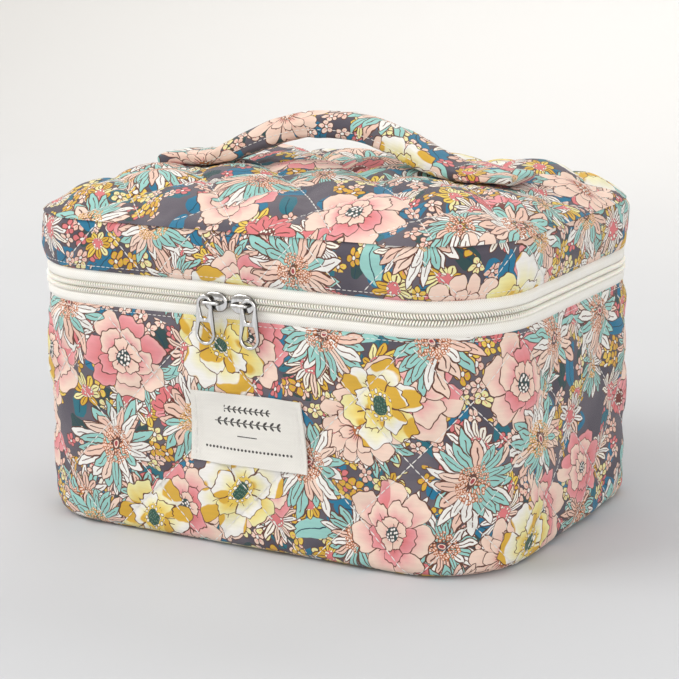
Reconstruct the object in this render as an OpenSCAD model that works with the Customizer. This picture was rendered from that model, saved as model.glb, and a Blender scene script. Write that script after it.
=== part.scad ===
// Quilted cotton vanity bag: a rounded box of padded fabric. Its lid is zipped round the front and
// sides, hinged along the back panel, and carried by a rolled fabric handle.
// Origin: centre of the base, on the surface that the bag stands on.
// +X runs to the right along the front, +Y to the hinge at the back, +Z up. Millimetres.
// Most parts are rings round four corner posts: a radius r is measured outwards from the posts,
// so r = corner_radius is the outside of the bag.

/* [Bag] */
// Width across the front
bag_width = 225; // [205:5:250]
// Depth from front to back
bag_depth = 168; // [152:2:186]
// Plan radius of the four upright corners
corner_radius = 42; // [38:1:46]
// Height of the wall's fabric, up to the zip
wall_height = 95.5; // [80:0.5:110]
// Height of the lid's side band, from the zip to the lid seam
band_height = 21.5; // [18:0.5:28]
// Rise of the padded lid above its seam
dome_rise = 12; // [9:0.5:14]
// Radius of the rolled edge round the base
base_roll = 9; // [8:0.5:10]

/* [Fabric layers] */
// Thickness of the printed cotton face
face_thick = 0.8; // [0.6:0.1:1]
// Thickness of the quilted batting
batting_thick = 3.4; // [2.4:0.2:4]
// Thickness of the lining
lining_thick = 0.8; // [0.6:0.1:1]
// Thickness of the folded hem along each side of the zip
hem_thick = 2; // [1.8:0.1:2.4]
// Width of the bindings that cover the raw seams inside
binding_width = 4.5; // [3.5:0.5:5]

/* [Zip] */
// Height of bare zip between the two fabric edges
zip_opening = 14; // [12:0.5:18]
// Depth of tape sewn in behind each fabric edge
seam_allowance = 5.5; // [4:0.5:7]
// Thickness of the zip's woven tape
tape_thick = 0.6; // [0.4:0.1:0.6]
// Height of one row of the nylon coil
coil_width = 2.4; // [2:0.1:2.6]
// Height that the coil stands out of its tape
coil_depth = 2; // [1.6:0.1:2.2]
// Gap between the two rows of coil, where a slider's neck runs
coil_gap = 1.6; // [1.4:0.1:2]
// Width of the plain back panel between the two ends of the zip
back_panel_width = 124; // [100:2:136]

/* [Sliders and pulls] */
// Distance of each closed slider from the middle of the front
slider_x = 6.3; // [6.1:0.1:12]
// Length of a slider along the zip
slider_length = 11.6; // [10:0.2:12]
// Height of a slider across the zip
slider_height = 8.2; // [7.6:0.1:9]
// Length of a pull from end to end
pull_length = 20.6; // [18:0.2:26]
// Width of a pull at its lower end
pull_width = 9.4; // [8.6:0.2:11]

/* [Handle] */
// Height of the top of the handle above the crown of the lid
handle_height = 26; // [22:0.5:36]
// Thickness of the rolled grip
grip_thick = 11.6; // [9:0.2:13]
// Length of the padded grip, end to end
grip_span = 100; // [90:2:104]
// Width of the flat tab sewn to the lid at each end
tab_width = 24; // [18:1:28]
// Distance of the outer end of each tab from the middle of the lid
tab_reach = 88; // [82:1:92]

/* [Label] */
// Width of the sewn cotton label
label_width = 53; // [40:1:60]
// Height of the label
label_height = 29; // [22:1:34]
// Distance of the label's middle to the right of the middle of the front
label_x = 4.3; // [-20:0.1:20]
// Height of the label's middle above the base
label_z = 51; // [40:1:60]

/* [Hidden] */
$fn = 96;

// Running clearance between parts that move past each other
clear = 0.3;
// Posts that the four corners turn round
post_x = bag_width / 2 - corner_radius;
post_y = bag_depth / 2 - corner_radius;

// Radii of the wall's layers, from the outside in
face_r = corner_radius;
batting_r = face_r - face_thick;
lining_r = batting_r - batting_thick;
inside_r = lining_r - lining_thick;
tape_out_r = face_r - hem_thick;
tape_in_r = tape_out_r - tape_thick;
coil_out_r = tape_out_r + coil_depth;

// The rolled edge turns about a ring at this radius and height; the wall's face stays a
// little off the ground so that the base carries the bag
roll_r = face_r - base_roll;
wall_lift = 0.4;
roll_z = base_roll + wall_lift;
base_top = wall_lift + face_thick + batting_thick;
base_inside = base_top + lining_thick;

// Heights
split_z = wall_height + zip_opening / 2;
band_z = wall_height + zip_opening;
seam_z = band_z + band_height;
crown_z = seam_z + dome_rise;
wall_padding_top = wall_height - seam_allowance;
band_padding_bottom = band_z + seam_allowance;
tape_overlap = coil_gap / 2 + 0.3;

// The lid's top is an arc that is level over the posts and meets the seam at the outside
dome_r = (corner_radius * corner_radius + dome_rise * dome_rise) / (2 * dome_rise);
dome_z = crown_z - dome_r;
dome_batting_r = dome_r - face_thick;
dome_lining_r = dome_batting_r - batting_thick;
dome_inside_r = dome_lining_r - lining_thick;
band_padding_top = dome_z + sqrt(pow(dome_lining_r, 2) - pow(batting_r, 2));
band_lining_top = dome_z + sqrt(pow(dome_inside_r, 2) - pow(lining_r, 2));
edge_rise = 0.2;

// Inside bindings
binding_thick = 1.8;
rim_binding_in_r = tape_in_r - 2.2;
rim_binding_rise = 1;
corner_binding_thick = 0.8;

// Hinge at the back
zip_end_tuck = 8;
facing_half = back_panel_width / 2 - zip_end_tuck;

// Sliders: radii of the two plates, the pull and the bridge
plate_thick = 1.2;
plate_r = coil_out_r + clear;
plate_out_r = plate_r + plate_thick;
back_plate_r = tape_in_r - clear - plate_thick;
pull_thick = 1.2;
pull_r = plate_out_r + 0.5;
bridge_r = pull_r + pull_thick + 0.5;
bridge_thick = 1.2;
bridge_out_r = bridge_r + bridge_thick;
leg_x = 4;
leg_radius = 0.75;
inner_leg_x = 3.4;
neck_length = 2.4;
neck_thick = coil_gap - 2 * clear;
flange_thick = 1;

// Pulls hang from the outer leg of the bridge
eye_radius = 2.5;
eye_drop = 1.4;
eye_length = 7.2;
pull_top_radius = 3.6;
pull_top_drop = 0.6;
pull_end_radius = pull_width / 2;
pull_end_drop = pull_length - (pull_top_radius - pull_top_drop) - pull_end_radius;
window_radius = 2.7;
window_top = 9.4;

// Handle: an arc of rolled fabric that tilts about two knuckles on the lid
grip_r = grip_thick / 2;
core_r = grip_r - 1.4;
grip_top_z = crown_z + handle_height - grip_r;
pivot_z = crown_z + 4;
grip_end_z = pivot_z + 5;
arc_rise = grip_top_z - grip_end_z;
arc_r = (pow(grip_span / 2, 2) + pow(arc_rise, 2)) / (2 * arc_rise);
arc_half = asin(grip_span / 2 / arc_r);
knuckle_r = 1.6;
knuckle_x = 60;
knuckle_length = 3;
tab_thick = 1.6;
tab_start = 56;
tab_corner = 3;

// Stitches
stitch_length = 1.6;
stitch_pitch = 2.6;
stitch_thick = 0.3;
stitch_width = 0.4;
label_thick = 0.6;
label_inset = 2.6;

// Outline of the bag at radius r
module plan(r) {
    square([2 * post_x, 2 * (post_y + r)], center = true);
    square([2 * (post_x + r), 2 * post_y], center = true);
    for (sx = [-1, 1], sy = [-1, 1])
        translate([sx * post_x, sy * post_y])
            circle(r);
}

// Upright ring between two radii
module ring(r_out, r_in, z_low, z_high) {
    translate([0, 0, z_low])
        linear_extrude(z_high - z_low)
            difference() {
                plan(r_out);
                plan(r_in);
            }
}

// Flat slab out to radius r
module slab(r, z_low, z_high) {
    translate([0, 0, z_low])
        linear_extrude(z_high - z_low)
            plan(r);
}

// Carries a profile (x = radius, y = height) round the whole bag
module around() {
    for (i = [0 : 3])
        translate([(i == 0 || i == 3 ? 1 : -1) * post_x, (i < 2 ? 1 : -1) * post_y, 0])
            rotate([0, 0, 90 * i])
                rotate_extrude(angle = 90)
                    children();
    for (side = [0, 180]) {
        rotate([0, 0, side])
            translate([post_x, post_y, 0])
                rotate([90, 0, 0])
                    linear_extrude(2 * post_y)
                        children();
        rotate([0, 0, side])
            translate([-post_x, post_y, 0])
                rotate([0, 0, 90])
                    rotate([90, 0, 0])
                        linear_extrude(2 * post_x)
                            children();
    }
}

// Profile of a wall layer with its share of the rolled base edge
module wall_profile(r_out, r_in, top) {
    translate([r_in, roll_z])
        square([r_out - r_in, top - roll_z]);
    translate([roll_r, roll_z])
        intersection() {
            difference() {
                circle(r_out - roll_r);
                circle(r_in - roll_r);
            }
            translate([0, -2 * base_roll])
                square(2 * base_roll);
        }
}

// Folded hem at the top of the wall, with the zip tape sewn in behind it
module hem_profile(low, high) {
    translate([tape_out_r, low])
        square([face_r - tape_out_r, high - low]);
}

// One layer of the domed lid top, out to radius limit
module dome_layer(r_out, r_in, limit) {
    around()
        intersection() {
            translate([0, dome_z])
                difference() {
                    circle(r_out);
                    circle(r_in);
                }
            translate([0, band_z])
                square([limit, 2 * (crown_z - band_z)]);
        }
    translate([-post_x, -post_y, dome_z + r_in])
        cube([2 * post_x, 2 * post_y, r_out - r_in]);
}

// Block that takes in the back of the bag between x = -half and x = half
module back_zone(half) {
    translate([-half, post_y, -1])
        cube([2 * half, 2 * corner_radius, 2 * crown_z]);
}

// Places a flat drawing (x, z) on the front, from radius r outwards
module on_front(r, thick) {
    translate([0, -post_y - r, 0])
        rotate([90, 0, 0])
            linear_extrude(thick)
                children();
}

// ---- Body ----

// Printed fabric round the front and sides
module wall_fabric() {
    color("lightsteelblue")
        difference() {
            around() {
                wall_profile(face_r, batting_r, wall_height);
                hem_profile(wall_padding_top, wall_height);
            }
            back_zone(back_panel_width / 2);
        }
}

// Printed back panel up to the hinge line
module back_panel_lower() {
    color("slategray")
        intersection() {
            around() {
                wall_profile(face_r, batting_r, split_z - clear / 2);
                hem_profile(wall_padding_top, split_z - clear / 2);
            }
            back_zone(back_panel_width / 2);
        }
}

// Printed base that the bag stands on
module base_fabric() {
    color("slategray")
        slab(roll_r, 0, wall_lift + face_thick);
}

module wall_padding() {
    color("white")
        around()
            wall_profile(batting_r, lining_r, wall_padding_top);
}

module base_padding() {
    color("white")
        slab(roll_r, wall_lift + face_thick, base_top);
}

module wall_lining() {
    color("ivory")
        around()
            wall_profile(lining_r, inside_r, wall_padding_top);
}

module base_lining() {
    color("ivory")
        slab(roll_r, base_top, base_inside);
}

// Tape over the seam between the base and the wall, inside
module base_seam_binding() {
    color("antiquewhite")
        ring(roll_r, roll_r - binding_width, base_inside, base_inside + corner_binding_thick);
}

// Binding over the raw edges behind the lower zip tape, inside
module lower_zip_binding() {
    color("antiquewhite")
        ring(tape_in_r, rim_binding_in_r, wall_padding_top, wall_height + rim_binding_rise);
}

// Everything of the zip goes round the front and sides and tucks in behind the back panel
module lower_zip_tape() {
    color("linen")
        difference() {
            ring(tape_out_r, tape_in_r, wall_padding_top, split_z - tape_overlap);
            back_zone(facing_half);
        }
}

module lower_zip_coil() {
    color("cornsilk")
        difference() {
            ring(coil_out_r, tape_out_r, split_z - coil_gap / 2 - coil_width, split_z - coil_gap / 2);
            back_zone(back_panel_width / 2 + clear);
        }
}

// Strip behind the hinge line, inside, up to the hinge
module hinge_facing_lower() {
    color("antiquewhite")
        intersection() {
            ring(tape_out_r, tape_in_r, wall_padding_top, split_z - clear / 2);
            back_zone(facing_half);
        }
}

module label() {
    color("floralwhite")
        on_front(face_r, label_thick)
            translate([label_x, label_z])
                square([label_width, label_height], center = true);
}

// A row of stitches down each side of the label
module label_stitches() {
    count = floor((label_height - 3) / stitch_pitch);
    color("wheat")
        on_front(face_r + label_thick, stitch_thick)
            for (side = [-1, 1], i = [0 : count - 1])
                translate([
                    label_x + side * (label_width / 2 - label_inset),
                    label_z + (i - (count - 1) / 2) * stitch_pitch
                ])
                    square([stitch_width, stitch_length], center = true);
}

// ---- Lid ----

// Printed side band round the front and sides of the lid
module lid_band_fabric() {
    color("lightsteelblue")
        difference() {
            union() {
                ring(face_r, batting_r, band_z, seam_z + edge_rise);
                ring(face_r, tape_out_r, band_z, band_padding_bottom);
            }
            back_zone(back_panel_width / 2);
        }
}

// Printed back panel above the hinge line
module back_panel_upper() {
    color("slategray")
        intersection() {
            union() {
                ring(face_r, batting_r, split_z + clear / 2, seam_z + edge_rise);
                ring(face_r, tape_out_r, split_z + clear / 2, band_padding_bottom);
            }
            back_zone(back_panel_width / 2);
        }
}

// Domed, quilted top panel
module lid_top_fabric() {
    color("lightblue")
        dome_layer(dome_r, dome_batting_r, batting_r);
}

module lid_band_padding() {
    color("white")
        ring(batting_r, lining_r, band_padding_bottom, band_padding_top);
}

module lid_top_padding() {
    color("white")
        dome_layer(dome_batting_r, dome_lining_r, batting_r);
}

module lid_band_lining() {
    color("ivory")
        ring(lining_r, inside_r, band_padding_bottom, band_lining_top);
}

module lid_top_lining() {
    color("ivory")
        dome_layer(dome_lining_r, dome_inside_r, lining_r);
}

// Tape over the seam between the lid's band and top, inside
module lid_seam_binding() {
    color("antiquewhite")
        ring(inside_r, inside_r - binding_thick, band_lining_top - binding_width, band_lining_top);
}

module upper_zip_binding() {
    color("antiquewhite")
        ring(tape_in_r, rim_binding_in_r, band_z - rim_binding_rise, band_padding_bottom);
}

module upper_zip_tape() {
    color("linen")
        difference() {
            ring(tape_out_r, tape_in_r, split_z + tape_overlap, band_padding_bottom);
            back_zone(facing_half);
        }
}

module upper_zip_coil() {
    color("cornsilk")
        difference() {
            ring(coil_out_r, tape_out_r, split_z + coil_gap / 2, split_z + coil_gap / 2 + coil_width);
            back_zone(back_panel_width / 2 + clear);
        }
}

module hinge_facing_upper() {
    color("antiquewhite")
        intersection() {
            ring(tape_out_r, tape_in_r, split_z + clear / 2, band_padding_bottom);
            back_zone(facing_half);
        }
}

// Outline of a handle tab on the right of the lid
module tab_outline() {
    translate([tab_start, -tab_width / 2])
        square([tab_reach - tab_corner - tab_start, tab_width]);
    translate([tab_start, tab_corner - tab_width / 2])
        square([tab_reach - tab_start, tab_width - 2 * tab_corner]);
    for (side = [-1, 1])
        translate([tab_reach - tab_corner, side * (tab_width / 2 - tab_corner)])
            circle(tab_corner);
}

// Flat end of the handle, sewn down on the dome; side is -1 on the left and 1 on the right
module handle_tab(side) {
    color("lightblue")
        intersection() {
            dome_layer(dome_r + tab_thick, dome_r, corner_radius - 10);
            translate([0, 0, seam_z])
                linear_extrude(2 * dome_rise)
                    rotate([0, 0, side > 0 ? 0 : 180])
                        tab_outline();
        }
}

// Cross rows of stitches that hold each tab, where the lid is level
module tab_stitches() {
    count = floor((tab_width - 4) / stitch_pitch);
    color("white")
        translate([0, 0, crown_z + tab_thick])
            linear_extrude(stitch_thick)
                for (side = [-1, 1], row = [62, 68], i = [0 : count - 1])
                    translate([side * row, (i - (count - 1) / 2) * stitch_pitch])
                        square([stitch_width, stitch_length], center = true);
}

// ---- Handle ----

// Arc of the grip with cross-section radius r, over half_angle each side of the top
module grip_arc(r, half_angle) {
    translate([0, 0, grip_top_z - arc_r])
        rotate([90, 0, 0])
            rotate([0, 0, 90 - half_angle])
                rotate_extrude(angle = 2 * half_angle)
                    translate([arc_r, 0])
                        circle(r);
}

// Where the grip narrows down to its knuckle on the right
module handle_neck() {
    neck_fn = 32;
    hull() {
        translate([grip_span / 2, 0, grip_end_z])
            rotate([0, 90 + arc_half, 0])
                translate([0, 0, -0.2])
                    cylinder(r = grip_r - 0.3, h = 0.4, center = true, $fn = neck_fn);
        translate([knuckle_x - knuckle_length, 0, pivot_z])
            rotate([0, 90, 0])
                cylinder(r = knuckle_r, h = knuckle_length, $fn = neck_fn);
    }
}

module handle_sleeve() {
    color("lightblue")
        difference() {
            union() {
                grip_arc(grip_r, arc_half);
                handle_neck();
                mirror([1, 0, 0])
                    handle_neck();
            }
            grip_arc(core_r, arc_half - 2);
        }
}

// Cord of batting inside the grip
module handle_core() {
    color("white")
        grip_arc(core_r, arc_half - 2);
}

// ---- Sliders and pulls ----

// Puts a part of the right-hand slider on the zip, or mirrors it to the left
module at_slider(side) {
    mirror([side > 0 ? 0 : 1, 0, 0])
        translate([slider_x, 0, split_z])
            children();
}

module slider_outline() {
    intersection() {
        circle(slider_length / 2 + 0.1);
        square([slider_length, slider_height], center = true);
    }
}

// Die-cast slider: two plates joined by a neck between the coils, and a bridge along the zip
module slider(side) {
    color("silver")
        at_slider(side) {
            on_front(plate_r, plate_thick)
                slider_outline();
            on_front(back_plate_r, plate_thick)
                slider_outline();
            on_front(back_plate_r, plate_out_r - back_plate_r)
                translate([-slider_length / 2 + 0.6, -neck_thick / 2])
                    square([neck_length, neck_thick]);
            on_front(tape_out_r + clear, plate_r + 0.5 - tape_out_r - clear)
                translate([-slider_length / 4, -slider_height / 2])
                    square([slider_length / 2, flange_thick - clear]);
            on_front(plate_out_r, bridge_out_r - plate_out_r)
                for (x = [-inner_leg_x, leg_x])
                    translate([x, 0])
                        circle(leg_radius);
            on_front(bridge_r, bridge_thick)
                translate([-inner_leg_x, -leg_radius])
                    square([inner_leg_x + leg_x, 2 * leg_radius]);
        }
}

module pull_outline() {
    translate([0, -pull_top_drop])
        circle(pull_top_radius);
    translate([0, -pull_end_drop])
        circle(pull_end_radius);
    polygon([
        [-pull_top_radius, -pull_top_drop],
        [-pull_end_radius, -pull_end_drop],
        [pull_end_radius, -pull_end_drop],
        [pull_top_radius, -pull_top_drop]
    ]);
}

// Drop-shaped eye that the bridge passes through
module pull_eye() {
    translate([0, -eye_drop])
        circle(eye_radius);
    polygon([[-eye_radius, -eye_drop], [0, -eye_length], [eye_radius, -eye_drop]]);
}

module pull_window() {
    translate([0, -pull_end_drop])
        circle(window_radius);
    translate([-window_radius, -pull_end_drop])
        square([2 * window_radius, pull_end_drop - window_top]);
}

// Flat pull hanging from the outer leg of its slider's bridge
module pull(side) {
    color("gainsboro")
        at_slider(side)
            translate([leg_x, 0, 0])
                on_front(pull_r, pull_thick)
                    difference() {
                        pull_outline();
                        pull_eye();
                        pull_window();
                    }
}

wall_fabric();
back_panel_lower();
base_fabric();
wall_padding();
base_padding();
wall_lining();
base_lining();
base_seam_binding();
lower_zip_binding();
lower_zip_tape();
lower_zip_coil();
hinge_facing_lower();
label();
label_stitches();
lid_band_fabric();
back_panel_upper();
lid_top_fabric();
lid_band_padding();
lid_top_padding();
lid_band_lining();
lid_top_lining();
lid_seam_binding();
upper_zip_binding();
upper_zip_tape();
upper_zip_coil();
hinge_facing_upper();
handle_tab(-1);  // handle_tab_left
handle_tab(1);  // handle_tab_right
tab_stitches();
handle_sleeve();
handle_core();
slider(-1);  // left_slider
slider(1);  // right_slider
pull(-1);  // left_pull
pull(1);  // right_pull
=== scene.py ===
import math

import bpy
import numpy as np
from mathutils import Matrix, Vector


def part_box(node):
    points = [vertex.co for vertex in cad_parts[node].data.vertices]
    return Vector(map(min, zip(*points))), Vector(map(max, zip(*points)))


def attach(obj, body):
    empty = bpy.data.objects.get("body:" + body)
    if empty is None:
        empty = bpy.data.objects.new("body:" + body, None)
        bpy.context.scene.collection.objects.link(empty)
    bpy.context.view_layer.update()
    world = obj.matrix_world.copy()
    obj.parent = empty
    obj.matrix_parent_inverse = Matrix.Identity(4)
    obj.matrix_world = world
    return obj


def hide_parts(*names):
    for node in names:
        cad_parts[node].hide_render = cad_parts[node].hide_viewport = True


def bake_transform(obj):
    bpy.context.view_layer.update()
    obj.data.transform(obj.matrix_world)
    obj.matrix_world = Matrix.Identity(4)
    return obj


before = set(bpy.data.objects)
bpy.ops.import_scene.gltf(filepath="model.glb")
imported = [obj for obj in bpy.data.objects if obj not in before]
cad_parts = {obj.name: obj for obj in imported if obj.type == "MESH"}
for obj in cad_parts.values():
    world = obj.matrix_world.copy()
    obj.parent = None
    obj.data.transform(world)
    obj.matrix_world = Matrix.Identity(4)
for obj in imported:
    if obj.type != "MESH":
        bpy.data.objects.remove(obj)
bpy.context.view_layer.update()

# Lengths are in millimetres up to the point where a mesh is made.
MM = 0.001
TURN = 2 * math.pi


def node_box(name):
    """Lowest and highest corner of a CAD node."""
    return [[side / MM for side in corner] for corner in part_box(name)]


# The bag is a ring of panels round four corner posts. A radius r is measured outwards from the posts.
FACE_R = 42.0
(_, _, CAD_BAND_LOW), (BAND_X, BAND_Y, BAND_TOP) = node_box("lid_band_fabric")
POST_X, POST_Y = BAND_X - FACE_R, BAND_Y - FACE_R
CORNER = TURN / 4 * FACE_R
AROUND = 4 * (POST_X + POST_Y + CORNER)

# Heights. The sewn bag is softer than its pattern, so its cloth stands fuller over the zip than in the CAD.
CAD_WALL_TOP = node_box("wall_fabric")[1][2]
SPLIT = (CAD_WALL_TOP + CAD_BAND_LOW) / 2
WALL_TOP, BAND_LOW = CAD_WALL_TOP + 1.0, CAD_BAND_LOW - 0.2
SEAM = BAND_TOP - 0.2
CROWN = node_box("lid_top_fabric")[1][2]
DOME_R = (FACE_R ** 2 + (CROWN - SEAM) ** 2) / (2 * (CROWN - SEAM))
DOME_Z = CROWN - DOME_R

# The plain back panel between the ends of the zip
BACK_HALF = node_box("back_panel_lower")[1][0]
BACK_S = AROUND / 2 - BACK_HALF

# Turn of the wall into the base, folded hems beside the zip, and thickness of the padded cloth
ROLL, LIFT = 4.0, 0.4
ROLL_R, ROLL_Z, ROLL_ARC = FACE_R - ROLL, LIFT + ROLL, TURN / 4 * ROLL
HEM, HEM_ARC = 1.7, TURN / 4 * 1.7
PAD, HEM_PAD = 3.9, 1.9

# Between these heights the cloth is hemmed, and its padding thins out beside the zip.
THIN_LOW, THIN_HIGH = 90.0, 115.0

# Quilting: pitch of the diagonal stitch lines, and where one line of each family lies
WALL_QUILT = (47.0, 14.0, 31.0)
BACK_QUILT = (47.0, 23.0, 25.0)
TOP_QUILT = (44.5, 8.5, 8.0)
BAND_QUILT = (47.0, 5.0, 22.0)


# ---------------------------------------------------------------- shapes

def smooth(value, low, high):
    """0 below low, 1 above high, with a smooth step between (low may be the larger)."""
    share = np.clip((np.asarray(value, float) - low) / (high - low), 0, 1)
    return share * share * (3 - 2 * share)


def ripple(x, y, size, seed):
    """Smooth random heights from -1 to 1 over a plane, with features about size apart."""
    side = 97
    lattice = np.random.default_rng(seed).uniform(-1, 1, (side, side))
    x, y = np.asarray(x, float) / size, np.asarray(y, float) / size
    i, j = np.floor(x).astype(int), np.floor(y).astype(int)
    u, v = smooth(x - i, 0, 1), smooth(y - j, 0, 1)
    i0, i1, j0, j1 = i % side, (i + 1) % side, j % side, (j + 1) % side
    low = lattice[i0, j0] * (1 - u) + lattice[i1, j0] * u
    high = lattice[i0, j1] * (1 - u) + lattice[i1, j1] * u
    return low * (1 - v) + high * v


def outline(s):
    """Post point and outward direction at distance s round the bag, rightwards from mid-front."""
    s = np.mod(np.asarray(s, float), AROUND)
    post, out = np.zeros(s.shape + (2,)), np.zeros(s.shape + (2,))
    start, corner, heading = 0.0, np.array([0.0, -POST_Y]), -TURN / 4
    for run in (POST_X, 2 * POST_Y, 2 * POST_X, 2 * POST_Y, POST_X):
        course = np.array([-math.sin(heading), math.cos(heading)])
        here = (s >= start) & (s <= start + run + 1e-9)
        post[here] = corner + (s[here] - start)[:, None] * course
        out[here] = (math.cos(heading), math.sin(heading))
        corner = corner + run * course
        start += run
        here = (s >= start) & (s <= start + CORNER + 1e-9)
        angle = heading + (s[here] - start) / FACE_R
        post[here] = corner
        out[here] = np.stack([np.cos(angle), np.sin(angle)], -1)
        heading += TURN / 4
        start += CORNER
    return post, out


def place(s, r, z):
    """Points at distance s round the bag, radius r and height z."""
    s, r, z = np.broadcast_arrays(np.asarray(s, float), r, z)
    post, out = outline(s)
    return np.concatenate([post + out * r[..., None], z[..., None]], -1)


def steps(low, high, size):
    """Even values from low to high, at most size apart."""
    return np.linspace(low, high, int(math.ceil((high - low) / size)) + 1)


def pair(x, y):
    """Points of a plane from two grids of numbers, which may be single rows, columns or numbers."""
    return np.stack(np.broadcast_arrays(x, y), -1)


def triple(x, y, z):
    """The same for points in space."""
    return np.stack(np.broadcast_arrays(x, y, z), -1)


# ---------------------------------------------------------------- quilting

def families(quilt, s, z):
    """How far a place on the cloth lies across each of the two families of stitch lines."""
    _, first, second = quilt
    return z - s - first, z + s - second


def quilt_puff(quilt, s, z):
    """Share of the full height of a quilted diamond, 0 on its stitch lines."""
    rising, falling = (np.abs(np.sin(math.pi * value / quilt[0])) for value in families(quilt, s, z))
    return (rising * falling) ** 0.62


def line_gap(value, pitch):
    """Distance from the nearest stitch line of one family."""
    return np.abs(np.mod(value / pitch + 0.5, 1) - 0.5) * pitch / math.sqrt(2)


def near_line(quilt, s, z, width):
    """1 on the stitch lines, 0 further off than about a width."""
    rising, falling = (line_gap(value, quilt[0]) for value in families(quilt, s, z))
    return np.exp(-(np.minimum(rising, falling) / width) ** 2)


def puckers(quilt, s, z, seed):
    """Short gathers that run out across each stitch line."""
    total = 0
    crossings = families(quilt, s, z)
    for which, (value, along) in enumerate((crossings, crossings[::-1])):
        gap = line_gap(value, quilt[0])
        wave = ripple(along, np.round(value / quilt[0]) * 31.0 + gap * 0.35, 4.6, seed + which)
        total = total + wave * np.exp(-((gap - 2.2) / 4.0) ** 2)
    return total


# ---------------------------------------------------------------- meshes

def add_mesh(name, points, faces, material, places=None, crease=55.0):
    """A piece from points in millimetres; places says where each point lies on its flat cloth."""
    mesh = bpy.data.meshes.new(name)
    mesh.from_pydata((np.asarray(points, float).reshape(-1, 3) * MM).tolist(), [], faces)
    mesh.shade_smooth()
    mesh.set_sharp_from_angle(angle=math.radians(crease))
    if places is not None:
        flat = np.zeros((len(mesh.vertices), 3), np.float32)
        flat[:, :2] = np.asarray(places, float).reshape(-1, 2)
        mesh.attributes.new("cloth", "FLOAT_VECTOR", "POINT").data.foreach_set("vector", flat.ravel())
    mesh.materials.append(material)
    piece = bpy.data.objects.new(name, mesh)
    bpy.context.scene.collection.objects.link(piece)
    return piece


def belongs(piece, body, slot, *nodes, fill=None):
    """Attaches a piece to the body it rides on, or, for two bodies and the stretch between them, only bakes
    its transform; hides the CAD nodes it stands for. slot (what it is made of) and fill are not used.
    """
    if isinstance(body, str):
        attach(piece, body)
    else:
        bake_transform(piece)
    if nodes:
        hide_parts(*nodes)


def grid_faces(index, close_rows=False, close_columns=False):
    """Quads between neighbours of a grid of point numbers."""
    if close_rows:
        index = np.vstack([index, index[:1]])
    if close_columns:
        index = np.hstack([index, index[:, :1]])
    quads = np.stack([index[:-1, :-1], index[:-1, 1:], index[1:, 1:], index[1:, :-1]], -1)
    return quads.reshape(-1, 4).tolist()


def slab(name, outer, inner, material, places, closed=False, capped=False):
    """A closed layer of cloth between two grids: rows run to the right round the bag, columns run down."""
    rows, columns = outer.shape[:2]
    top = np.arange(rows * columns).reshape(rows, columns)
    low = top + rows * columns
    faces = grid_faces(top, closed) + grid_faces(low[:, ::-1], closed)
    faces += grid_faces(np.stack([top[:, -1], low[:, -1]], 1), closed)
    points = np.concatenate([outer.reshape(-1, 3), inner.reshape(-1, 3)])
    flat = np.concatenate([places.reshape(-1, 2)] * 2)
    if capped:
        points = np.concatenate([points, outer[:, 0].mean(0)[None], inner[:, 0].mean(0)[None]])
        flat = np.concatenate([flat, places[:, 0].mean(0)[None], places[:, 0].mean(0)[None]])
        middle = 2 * rows * columns
        following = np.roll(np.arange(rows), -1)
        faces += [(middle, int(top[i, 0]), int(top[k, 0])) for i, k in enumerate(following)]
        faces += [(middle + 1, int(low[k, 0]), int(low[i, 0])) for i, k in enumerate(following)]
    else:
        faces += grid_faces(np.stack([low[:, 0], top[:, 0]], 1), closed)
    if not closed:
        faces += grid_faces(np.stack([top[0], low[0]], 1)) + grid_faces(np.stack([low[-1], top[-1]], 1))
    return add_mesh(name, points, faces, material, flat)


def hoop(name, section, s, material, sway, seed):
    """Carries a closed section of (r, z) round the bag; sway is how far hand sewing wanders."""
    section = np.asarray(section, float)
    wander = ripple(s, s * 0, 23.0, seed) * sway
    r = section[None, :, 0] + wander[:, None]
    z = section[None, :, 1] + np.roll(wander, len(s) // 3)[:, None]
    points = place(s[:, None], r, z)
    girth = np.concatenate([[0], np.cumsum(np.linalg.norm(np.diff(section, axis=0), axis=1))])
    flat = pair(s[:, None], girth[None, :])
    index = np.arange(points[..., 0].size).reshape(points.shape[:2])
    return add_mesh(name, points, grid_faces(index, True, True), material, flat)


def squarish(angle, power, up_power=None):
    """Cosine and sine of a soft-cornered rectangle: a smaller power makes squarer corners."""
    c, s = np.cos(angle), np.sin(angle)
    up_power = up_power or power
    return np.sign(c) * np.abs(c) ** power, np.sign(s) * np.abs(s) ** up_power


def rounded(r0, r1, z0, z1, power, count=20):
    """Soft-cornered closed section between two radii and two heights."""
    across, up = squarish(-np.arange(count) / count * TURN, power)
    return pair((r0 + r1 + (r1 - r0) * across) / 2, (z0 + z1 + (z1 - z0) * up) / 2)


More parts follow.
